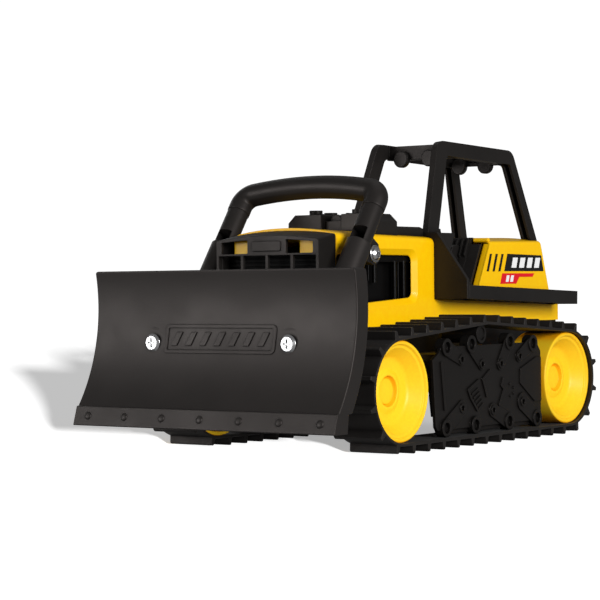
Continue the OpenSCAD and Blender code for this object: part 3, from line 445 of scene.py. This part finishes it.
for end, axle_y in AXLES:
    for side, sign in SIDES:
        body = f"wheel_{end}_{side}_body"
        mesh = lathe_x(WHEEL_PROFILE, WHEEL_FACE_X, sign, axle_y, AXLE_Z, count=144)
        add_piece(f"wheel_{end}_{side}_fine", mesh, "wheel_yellow", body,
                  (f"wheel_{end}_{side}",))
        mesh = lathe_x(CAP_PROFILE, WHEEL_FACE_X, sign, axle_y, AXLE_Z, count=96, closed=False)
        add_piece(f"hub_cap_{end}_{side}_fine", mesh, "wheel_yellow", body,
                  (f"hub_cap_{end}_{side}",))

# ------------------------------------------------------------------ pivot washers
PIVOT_Y, PIVOT_Z = 22.9, 133.1
WASHER_FACE_X = 58.3
WASHER_PROFILE = (  # (radius, depth inward from the washer face)
    (3.1, 0.9), (5.75, 0.9), (5.9, 0.75), (5.9, 0.2), (5.75, 0.0), (5.55, -0.05),
    (5.35, 0.02), (5.2, 0.22), (5.05, 0.30), (4.9, 0.22), (4.8, 0.06), (4.65, 0.0),
    (3.1, 0.0),
)

for side, sign in SIDES:
    mesh = lathe_x(WASHER_PROFILE, WASHER_FACE_X, sign, PIVOT_Y, PIVOT_Z, count=96)
    add_piece(f"pivot_washer_{side}_fine", mesh, "bright_zinc", "root", ("pivot_washers",))

# ------------------------------------------------------------------ track belts
# circles the belt's inner face wraps: rear wheel, carrier roller, front wheel
WRAPS = (  # (y, z, radius)
    (REAR_AXLE_Y, AXLE_Z, 34.1),
    (108.0, AXLE_Z + 35.6, 6.6),
    (0.0, AXLE_Z, 34.1),
)
BELT_THICK = 2.0
LUG_HEIGHT = 5.3
LUG_COUNT = 36
FIRST_LUG = 8.9  # distance along the belt to the first lug
LUG_FOOT = 2.3  # half the length of a lug at its foot
LUG_FLANK = (  # (distance from the lug's middle, height above the belt)
    (LUG_FOOT, 0.0), (2.0, 0.45), (1.05, LUG_HEIGHT - 0.25), (0.75, LUG_HEIGHT),
)
LUG_PROFILE = [(-along, up) for along, up in LUG_FLANK] + list(LUG_FLANK[::-1])
GAP_SPANS = 6  # spans of bare belt between two lugs
BELT_COLUMNS = (58.5, 58.9, 61.0, 77.2, 93.5, 95.6, 96.0)  # x, inner to outer edge
LUG_EDGE_DROP, BELT_EDGE_DROP = 0.35, 0.25  # heights lost at the two side edges


def straight_run(i):
    """(leaving normal angle in degrees, length) of the run from one wrap to the next."""
    y_a, z_a, r_a = WRAPS[i]
    y_b, z_b, r_b = WRAPS[(i + 1) % 3]
    dy, dz = y_b - y_a, z_b - z_a
    heading = math.atan2(dz, dy) + math.asin((r_a - r_b) / math.hypot(dy, dz))
    length = math.sqrt(dy ** 2 + dz ** 2 - (r_a - r_b) ** 2)
    return (math.degrees(heading) + 720) % 360 - 90, length


RUNS = [straight_run(i) for i in range(3)]
LEAVE = [RUNS[0][0], RUNS[1][0], (RUNS[2][0] + 720) % 360]
ENTER = [LEAVE[2] - 360, LEAVE[0], LEAVE[1]]
ARC_LENGTHS = [math.radians(leave - enter) * (radius + BELT_THICK / 2)
               for leave, enter, (_, _, radius) in zip(LEAVE, ENTER, WRAPS)]
RUN_LENGTHS = [length for _, length in RUNS]
LOOP_LENGTH = sum(ARC_LENGTHS) + sum(RUN_LENGTHS)


def along_belt(distance, height):
    """(y, z) at a distance around the loop and a height above the inner face."""
    distance %= LOOP_LENGTH
    for i, (y, z, radius) in enumerate(WRAPS):
        reach = radius + height
        if distance <= ARC_LENGTHS[i]:
            a = math.radians(ENTER[i]) + distance / (radius + BELT_THICK / 2)
            return y + reach * math.cos(a), z + reach * math.sin(a)
        distance -= ARC_LENGTHS[i]
        if distance <= RUN_LENGTHS[i] or i == 2:
            a = math.radians(LEAVE[i])
            return (y + reach * math.cos(a) - distance * math.sin(a),
                    z + reach * math.sin(a) + distance * math.cos(a))
        distance -= RUN_LENGTHS[i]


def belt_stations():
    """(distance, outer height) around the whole loop."""
    pitch = LOOP_LENGTH / LUG_COUNT
    gap = pitch - 2 * LUG_FOOT
    stations = []
    for k in range(LUG_COUNT):
        middle = FIRST_LUG + k * pitch
        stations += [(middle + along, BELT_THICK + up) for along, up in LUG_PROFILE]
        stations += [(middle + LUG_FOOT + gap * j / GAP_SPANS, BELT_THICK)
                     for j in range(1, GAP_SPANS)]
    return stations


def belt(sign):
    mesh = bmesh.new()
    stations = belt_stations()
    columns = []
    for x in BELT_COLUMNS:
        at_edge = x in (BELT_COLUMNS[0], BELT_COLUMNS[-1])
        outer, inner = [], []
        for distance, height in stations:
            bottom = 0.0
            if at_edge:
                height -= LUG_EDGE_DROP if height > BELT_THICK + 1 else BELT_EDGE_DROP
                bottom = BELT_EDGE_DROP
            outer.append(mesh.verts.new(place(sign * x, *along_belt(distance, height))))
            inner.append(mesh.verts.new(place(sign * x, *along_belt(distance, bottom))))
        columns.append((outer, inner))
    count = len(stations)
    for (outer_a, inner_a), (outer_b, inner_b) in zip(columns, columns[1:]):
        for i in range(count):
            j = (i + 1) % count
            mesh.faces.new((outer_a[i], outer_a[j], outer_b[j], outer_b[i]))
            mesh.faces.new((inner_a[j], inner_a[i], inner_b[i], inner_b[j]))
    for outer, inner in (columns[0], columns[-1]):
        bridge(mesh, outer, inner)
    return mesh


for side, sign in SIDES:
    add_piece(f"track_belt_{side}_fine", belt(sign), "belt_rubber", "root",
              (f"track_belt_{side}",))

# ------------------------------------------------------------------ lift handle grip
# The grip lies in the plane of the arms, which leans back. In that plane s runs up the
# lean from the seam with the arms.
LEAN = math.radians(35.3)
ARM_X = 57.5
SEAM_Z = 163.5
SEAM_Y = 1.9 + (SEAM_Z - 136.5) * math.tan(LEAN)  # the arms pass y 1.9 at z 136.5
GRIP_TOP_Z = 180.5  # centre line at the middle of the grip
GRIP_RADIUS = 8.1
BEND_RADIUS = 10.0
CROWN_RADIUS = 260.0
GRIP_SEGMENTS = 48
GRIP_END = ((0.0, 0.55), (0.35, 0.1), (0.9, 0.0))  # (distance from the end, radius lost)
MOULD_LINES = (-90 - 24, -90 + 24)  # degrees around the section, on the underside
MOULD_LINE_HEIGHT = 0.28
MOULD_LINE_SPREAD = 9.0  # degrees from a line's crest to its foot
PLAIN_POINTS = 7  # path points at each end without mould lines


def arm_point(x, across, s):
    """A point s up the lean and a distance across the arms' plane."""
    y = SEAM_Y + s * math.sin(LEAN) + across * math.cos(LEAN)
    z = SEAM_Z + s * math.cos(LEAN) - across * math.sin(LEAN)
    return place(x, y, z)


def grip_path():
    """(x, s) along the centre line: straight, bend, shallow crown, then mirrored."""
    top = (GRIP_TOP_Z - SEAM_Z) / math.cos(LEAN)
    crown_angle = math.asin((ARM_X - BEND_RADIUS) / (CROWN_RADIUS - BEND_RADIUS))
    bend_start = top - CROWN_RADIUS + (CROWN_RADIUS - BEND_RADIUS) * math.cos(crown_angle)
    half = [(ARM_X, bend_start * k / 3) for k in range(4)]
    for k in range(1, 13):
        a = k / 12 * (math.pi / 2 - crown_angle)
        half.append((ARM_X - BEND_RADIUS + BEND_RADIUS * math.cos(a),
                     bend_start + BEND_RADIUS * math.sin(a)))
    for k in range(1, 10):
        a = crown_angle * (1 - k / 9)
        half.append((CROWN_RADIUS * math.sin(a),
                     top - CROWN_RADIUS + CROWN_RADIUS * math.cos(a)))
    return [Vector(p) for p in half + [(-x, s) for x, s in half[-2::-1]]]


def grip_ring(mesh, center, tangent, radius, has_lines):
    outward = Vector((-tangent.y, tangent.x))
    if outward.dot(center - Vector((0, -40))) < 0:
        outward = -outward
    points = []
    for a in turn(GRIP_SEGMENTS):
        reach = radius
        if has_lines:
            for line in MOULD_LINES:
                away = abs((math.degrees(a) - line + 180) % 360 - 180)
                reach += MOULD_LINE_HEIGHT * max(0.0, 1 - away / MOULD_LINE_SPREAD)
        out, across = reach * math.sin(a), reach * math.cos(a)
        points.append(arm_point(center.x + outward.x * out, across,
                                center.y + outward.y * out))
    return add_ring(mesh, points)


def grip():
    mesh = bmesh.new()
    path = grip_path()
    last = len(path) - 1
    rings = []
    for i, center in enumerate(path):
        tangent = path[min(i + 1, last)] - path[max(i - 1, 0)]
        tangent.normalize()
        if i == 0:
            for inset, loss in GRIP_END:
                rings.append(grip_ring(mesh, center + tangent * inset, tangent,
                                       GRIP_RADIUS - loss, False))
        elif i == last:
            for inset, loss in GRIP_END[::-1]:
                rings.append(grip_ring(mesh, center - tangent * inset, tangent,
                                       GRIP_RADIUS - loss, False))
        else:
            has_lines = PLAIN_POINTS <= i <= last - PLAIN_POINTS
            rings.append(grip_ring(mesh, center, tangent, GRIP_RADIUS, has_lines))
    for first, second in zip(rings, rings[1:]):
        bridge(mesh, first, second)
    mesh.faces.new(rings[0])
    mesh.faces.new(rings[-1])
    return mesh


add_piece("handle_grip_fine", grip(), "handle_black", "lift_frame", ("handle_grip",))

# ------------------------------------------------------------------ blade
# The face is part of a cylinder along x, whose axis stands in front of the blade.
FACE_RADIUS = 116.0
FACE_AXIS_Z = 99.0
FACE_AXIS_Y = -72.5 - FACE_RADIUS  # the face lies at y -72.5 at the axis height
BLADE_DEPTH = 13.0
BLADE_BACK = FACE_RADIUS + BLADE_DEPTH
BLADE_WALL = 3.0
HALF_WIDTH = 108.0
BLADE_TOP = 123.0
EDGE_TOP = 31.9  # where the cutting edge meets the face
BLADE_BOTTOM = EDGE_TOP - 0.6
BLADE_BEVEL = 2.6  # full width, at the two top corners
RIM_WEIGHT = 0.36  # share of the bevel on the other edges
BLADE_COLUMNS, BLADE_ROWS = 36, 30


def arc_y(radius, z):
    return FACE_AXIS_Y + math.sqrt(radius * radius - (z - FACE_AXIS_Z) ** 2)


def on_arc(radius, x, z):
    return place(x, arc_y(radius, z), z)


def add_blade_piece(name, mesh, **options):
    add_piece(name, mesh, "blade_black", "lift_frame", **options)


def mouldboard():
    """Curved tray, open at the back: front sheet, walls and back rim."""
    mesh = bmesh.new()
    spans = []  # (x stations, z stations) of the outer and the inner outline
    for inset in (0.0, BLADE_WALL):
        spans.append((steps(-HALF_WIDTH + inset, HALF_WIDTH - inset, BLADE_COLUMNS),
                      steps(BLADE_BOTTOM + inset, BLADE_TOP - inset, BLADE_ROWS)))
    border = [(i, 0) for i in range(BLADE_COLUMNS + 1)]
    border += [(BLADE_COLUMNS, k) for k in range(1, BLADE_ROWS + 1)]
    border += [(i, BLADE_ROWS) for i in range(BLADE_COLUMNS - 1, -1, -1)]
    border += [(0, k) for k in range(BLADE_ROWS - 1, 0, -1)]

    sheets = []
    for radius, (xs, zs) in zip((FACE_RADIUS, FACE_RADIUS + BLADE_WALL), spans):
        sheets.append([add_ring(mesh, [on_arc(radius, x, z) for x in xs]) for z in zs])
    for sheet in sheets:
        for low, high in zip(sheet, sheet[1:]):
            for i in range(BLADE_COLUMNS):
                mesh.faces.new((low[i], low[i + 1], high[i + 1], high[i]))
    front, inner = [[sheet[k][i] for i, k in border] for sheet in sheets]
    back = [add_ring(mesh, [on_arc(BLADE_BACK, xs[i], zs[k]) for i, k in border])
            for xs, zs in spans]
    loops = [front, *back, inner]
    for first, second in zip(loops, loops[1:]):
        bridge(mesh, first, second)

    weight = mesh.edges.layers.float.new("bevel_weight_edge")
    mesh.normal_update()
    for edge in mesh.edges:
        if len(edge.link_faces) == 2 and edge.calc_face_angle(0) > math.radians(50):
            edge[weight] = RIM_WEIGHT
        if all(abs(abs(v.co.x) - HALF_WIDTH * MM) < 1e-6
               and abs(v.co.z - BLADE_TOP * MM) < 1e-6 for v in edge.verts):
            edge[weight] = 1.0
    return mesh


add_blade_piece("blade_mouldboard", mouldboard(), replaces=("blade",),
                bevel=BLADE_BEVEL, segments=4, by_weight=True)

# ribs behind the mouldboard
RIB_FRONT, RIB_BACK = FACE_RADIUS + 2.6, BLADE_BACK - 0.2  # radii
RIB_HALF = 1.25  # half a rib's thickness
RIB_BEVEL = 0.35
for i, x in enumerate((-84, -28, 28, 84)):
    zs = steps(35.2, 119.6, 16)
    outline = [(arc_y(RIB_FRONT, z), z) for z in zs]
    outline += [(arc_y(RIB_BACK, z), z) for z in reversed(zs)]
    add_blade_piece(f"blade_rib_upright_{i + 1}",
                    prism_x(outline, x - RIB_HALF, x + RIB_HALF), bevel=RIB_BEVEL)
for i, z in enumerate((56, 93)):
    low, high = z - RIB_HALF, z + RIB_HALF
    outline = [(arc_y(RIB_FRONT, low), low), (arc_y(RIB_BACK, low), low),
               (arc_y(RIB_BACK, high), high), (arc_y(RIB_FRONT, high), high)]
    add_blade_piece(f"blade_rib_level_{i + 1}", prism_x(outline, -106.0, 106.0),
                    bevel=RIB_BEVEL)

# bosses that carry the push arms
BOSS_X, BOSS_Z, BOSS_RADIUS = 56.4, 74.6, 10.4
BOSS_FRONT_Y, BOSS_BACK_Y = arc_y(FACE_RADIUS + 1.5, BOSS_Z), -64.05
for side, sign in SIDES:
    mesh = bmesh.new()
    front, back = [], []
    for a in turn(48):
        x = sign * BOSS_X + BOSS_RADIUS * math.cos(a)
        z = BOSS_Z + BOSS_RADIUS * math.sin(a)
        front.append(mesh.verts.new(place(x, BOSS_FRONT_Y, z)))
        back.append(mesh.verts.new(place(x, BOSS_BACK_Y, z)))
    bridge(mesh, front, back)
    mesh.faces.new(front)
    mesh.faces.new(back)
    add_blade_piece(f"blade_boss_{side}", mesh, bevel=0.4)

# cutting edge along the foot of the face
CUTTING_EDGE = (  # (y, z)
    (arc_y(FACE_RADIUS, EDGE_TOP) - 1.3, EDGE_TOP), (-99.0, 19.6), (-98.6, 19.0),
    (-84.2, 19.0), (-82.6, EDGE_TOP + 0.4),
    (arc_y(FACE_RADIUS, EDGE_TOP) + 1.0, EDGE_TOP + 0.4),
)
add_blade_piece("blade_cutting_edge",
                prism_x(CUTTING_EDGE, -HALF_WIDTH, HALF_WIDTH, spans=12),
                bevel=0.5, segments=3)

# domed rivets on the cutting edge
RIVET_Y, RIVET_Z, RIVET_PITCH = -96.6, 25.5, 32.0
RIVET_TILT = math.radians(72.6)  # from upright towards the front
RIVET_PROFILE = (  # (radius, height above the rivet's centre)
    (2.8, -0.6), (2.8, 0.35), (2.65, 0.8), (2.35, 1.15), (1.9, 1.4), (1.1, 1.6), (0.0, 1.68),
)


def rivet(x):
    mesh = bmesh.new()
    center = Vector((x, RIVET_Y, RIVET_Z))
    axis = Vector((0, -math.sin(RIVET_TILT), math.cos(RIVET_TILT)))
    sideways = Vector((1, 0, 0))
    across = axis.cross(sideways)
    rings = []
    for radius, height in RIVET_PROFILE:
        middle = center + axis * height
        if radius == 0:
            points = [middle]
        else:
            points = [middle + sideways * radius * math.cos(a) + across * radius * math.sin(a)
                      for a in turn(28)]
        rings.append(add_ring(mesh, [place(*point) for point in points]))
    for first, second in zip(rings, rings[1:]):
        bridge(mesh, first, second)
    mesh.faces.new(rings[0][::-1])
    return mesh


for i in range(-3, 4):
    add_blade_piece(f"blade_rivet_{i + 4}", rivet(i * RIVET_PITCH))

# relief in the middle of the face: a frame around slanted bars
RELIEF_FRONT, RELIEF_BACK = FACE_RADIUS - 0.75, FACE_RADIUS + 0.5  # radii
BAR_PITCH = 12
BAR_RIGHT, BAR_LEFT = 0.4, -4.6  # sides of a bar's foot
BAR_BOTTOM, BAR_HEIGHT, BAR_SLANT = 73, 9, 4.2


def relief(name, outline, hole=None):
    """An (x, z) outline standing proud of the curved face."""
    mesh = bmesh.new()
    back, front = [add_ring(mesh, [on_arc(radius, x, z) for x, z in outline])
                   for radius in (RELIEF_BACK, RELIEF_FRONT)]
    if hole:
        hole_back, hole_front = [add_ring(mesh, [on_arc(radius, x, z) for x, z in hole])
                                 for radius in (RELIEF_BACK, RELIEF_FRONT)]
        for i in range(len(outline)):
            j = (i + 1) % len(outline)
            mesh.faces.new((back[i], back[j], front[j], front[i]))
            mesh.faces.new((hole_back[j], hole_back[i], hole_front[i], hole_front[j]))
            mesh.faces.new((front[i], front[j], hole_front[j], hole_front[i]))
            mesh.faces.new((back[j], back[i], hole_back[i], hole_back[j]))
    else:
        loft(mesh, [back, front])
    add_blade_piece(name, mesh, bevel=0.28)


def rounded_rectangle(x0, x1, z0, z1, radius, corner_steps=6, side_steps=8):
    """Outline with stations up the sides, so that they follow the curve."""
    left, right, low, high = x0 + radius, x1 - radius, z0 + radius, z1 - radius
    outline = []
    for x, z, start in ((right, low, -90), (right, high, 0), (left, high, 90),
                        (left, low, 180)):
        for k in range(corner_steps + 1):
            a = math.radians(start + 90 * k / corner_steps)
            outline.append((x + radius * math.cos(a), z + radius * math.sin(a)))
        if start == -90:
            outline += [(x1, z) for z in steps(low, high, side_steps)[1:-1]]
        if start == 90:
            outline += [(x0, z) for z in steps(high, low, side_steps)[1:-1]]
    return outline


relief("blade_relief_frame",
       rounded_rectangle(x0=-46, x1=46, z0=68, z1=87, radius=3),
       hole=rounded_rectangle(x0=-43.6, x1=43.6, z0=70.4, z1=84.6, radius=1.5))
for i in range(-3, 4):
    zs = steps(BAR_BOTTOM, BAR_BOTTOM + BAR_HEIGHT, 6)
    right, left = [
        [(i * BAR_PITCH + foot + BAR_SLANT * (z - BAR_BOTTOM) / BAR_HEIGHT, z) for z in zs]
        for foot in (BAR_RIGHT, BAR_LEFT)]
    relief(f"blade_relief_bar_{i + 4}", right + left[::-1])

# ------------------------------------------------------------------ printed labels
PRINT_X = (40.2, 40.3)
PRINTS = (  # name, slot, count, first y, pitch, bottom z, top z, width, slant
    ("label_print", "label_black", 4, 236.2, 11.6, 124.2, 132.0, 7.4, 2.6),
    ("label_print_low", "label_red", 2, 227.4, 6.6, 113.4, 118.4, 4.2, 1.8),
)

for side, sign in SIDES:
    for name, slot, count, first_y, pitch, bottom, top, width, slant in PRINTS:
        for k in range(count):
            y = first_y + k * pitch
            outline = [(y, bottom), (y + width, bottom),
                       (y + (width + slant), top), (y + slant, top)]
            add_piece(f"{name}_{side}_{k + 1}",
                      prism_x(outline, sign * PRINT_X[0], sign * PRINT_X[1]),
                      slot, "root", material="label_white")

# ------------------------------------------------------------------ floor (metres from here)
WHITE = (1, 1, 1)
FLOOR_GREY = (0.90, 0.93)  # range of the faint mottling
FLOOR_BOUNCE = 0.30  # share of its tone the floor keeps for all but camera rays
FLOOR_GLOW = 0.405  # emission, seen by the camera only


def floor_material():
    g = Surface("studio_floor")
    to_camera = g.node("ShaderNodeLightPath").outputs["Is Camera Ray"]
    mottling = g.ramp(g.noise(scale=3.0, detail=2.0, roughness=0.5), to=FLOOR_GREY)
    tone = g.times(mottling, g.ramp(to_camera, to=(FLOOR_BOUNCE, 1.0)))
    color = g.node("ShaderNodeCombineColor", {0: tone, 1: tone, 2: tone}).outputs[0]
    diffuse = g.node("ShaderNodeBsdfDiffuse", {"Color": color})
    glow = g.node("ShaderNodeEmission",
                  {"Color": WHITE, "Strength": g.times(to_camera, FLOOR_GLOW)})
    both = g.node("ShaderNodeAddShader", {0: diffuse.outputs[0], 1: glow.outputs[0]})
    g.feed(g.output.inputs[0], both.outputs[0])
    return g.material


def add_floor():
    mesh = bmesh.new()
    bmesh.ops.create_circle(mesh, cap_ends=True, segments=96, radius=14.0)
    data = bpy.data.meshes.new("floor")
    mesh.to_mesh(data)
    mesh.free()
    data.materials.append(floor_material())
    made = add_object("floor", data)
    made.location = (0, 0, -0.0002)  # just clear of the belts
    return made


floor = add_floor()


# ------------------------------------------------------------------ world
def add_world(light_strength, seen_strength):
    """White world: one strength for lighting, another where the camera sees it."""
    world = bpy.data.worlds.new("studio")
    bpy.context.scene.world = world
    world.use_nodes = True
    g = Graph(world.node_tree)
    to_camera = g.node("ShaderNodeLightPath").outputs["Is Camera Ray"]
    light, seen = [
        g.node("ShaderNodeBackground", {"Color": WHITE, "Strength": strength}).outputs[0]
        for strength in (light_strength, seen_strength)]
    mixed = g.node("ShaderNodeMixShader", {0: to_camera, 1: light, 2: seen})
    g.node("ShaderNodeOutputWorld", {0: mixed.outputs[0]})


add_world(light_strength=0.14, seen_strength=1.05)

# ------------------------------------------------------------------ lights
# the camera looks from the front right
CAMERA_PLACE = Vector((0.8473, -1.25567, 0.11139))
YAW, PITCH, ROLL = math.radians(35.924), math.radians(-0.369), math.radians(-0.569)
VIEW_AHEAD = Vector((-math.sin(YAW), math.cos(YAW), 0.0))
VIEW_RIGHT = Vector((math.cos(YAW), math.sin(YAW), 0.0))


def aim(direction):
    return direction.to_track_quat("-Z", "Y").to_euler()


def area(name, location, target, size, size_y, power):
    data = bpy.data.lights.new(name, "AREA")
    data.energy = power
    data.shape = "RECTANGLE"
    data.size = size
    data.size_y = size_y
    lamp = add_object(name, data)
    lamp.location = location
    lamp.rotation_euler = aim(Vector(target) - Vector(location))
    return lamp


def floor_sun(ahead=1.57, leftward=0.276, elevation=4.4):
    """Low sun for a long soft shadow; its heading is set against the view."""
    data = bpy.data.lights.new("floor_light", "SUN")
    data.energy = 26.0
    data.angle = math.radians(1.6)
    lamp = add_object("floor_light", data)
    heading = (VIEW_AHEAD * ahead - VIEW_RIGHT * leftward).normalized()
    rise = math.radians(elevation)
    lamp.rotation_euler = aim(heading * math.cos(rise) + Vector((0, 0, -math.sin(rise))))
    lamp.location = (1.5, -2.0, 0.6)
    return lamp


def floor_collection(name):
    collection = bpy.data.collections.new(name)
    collection.objects.link(floor)
    return collection


lamps = [
    area("key_right", location=(2.2, -0.85, 0.62), target=(0.0, 0.0, 0.1),
         size=1.2, size_y=0.8, power=59),
    area("front_left", location=(-1.15, -1.75, 0.42), target=(0.0, -0.1, 0.08),
         size=1.3, size_y=0.7, power=17.5),
    area("top_soft", location=(0.1, 0.3, 2.1), target=(0.0, 0.0, 0.0),
         size=1.8, size_y=1.8, power=4),
    area("left_rim", location=(-1.7, 0.9, 1.1), target=(0.0, 0.0, 0.12),
         size=0.9, size_y=0.9, power=4),
]

# the sun lights only the floor, the lamps everything else
floor_sun().light_linking.receiver_collection = floor_collection("floor_only")
no_floor = floor_collection("all_but_floor")
no_floor.collection_objects[0].light_linking.link_state = "EXCLUDE"
for lamp in lamps:
    lamp.light_linking.receiver_collection = no_floor


# ------------------------------------------------------------------ camera
def add_camera():
    data = bpy.data.cameras.new("camera")
    data.sensor_width = 36.0
    data.sensor_fit = "HORIZONTAL"
    data.lens = 125.33988
    data.clip_start = 0.05
    data.clip_end = 60.0
    camera = add_object("camera", data)
    ahead = Vector((-math.sin(YAW) * math.cos(PITCH), math.cos(YAW) * math.cos(PITCH),
                    math.sin(PITCH)))
    up = VIEW_RIGHT.cross(ahead)
    rolled_right = VIEW_RIGHT * math.cos(ROLL) + up * math.sin(ROLL)
    rolled_up = -VIEW_RIGHT * math.sin(ROLL) + up * math.cos(ROLL)
    rotation = Matrix((rolled_right, rolled_up, -ahead)).transposed()
    camera.matrix_world = Matrix.Translation(CAMERA_PLACE) @ rotation.to_4x4()
    bpy.context.scene.camera = camera


add_camera()

view = bpy.context.scene.view_settings
view.view_transform = "Standard"
view.look = "None"
view.exposure = 0.0

bpy.context.view_layer.update()
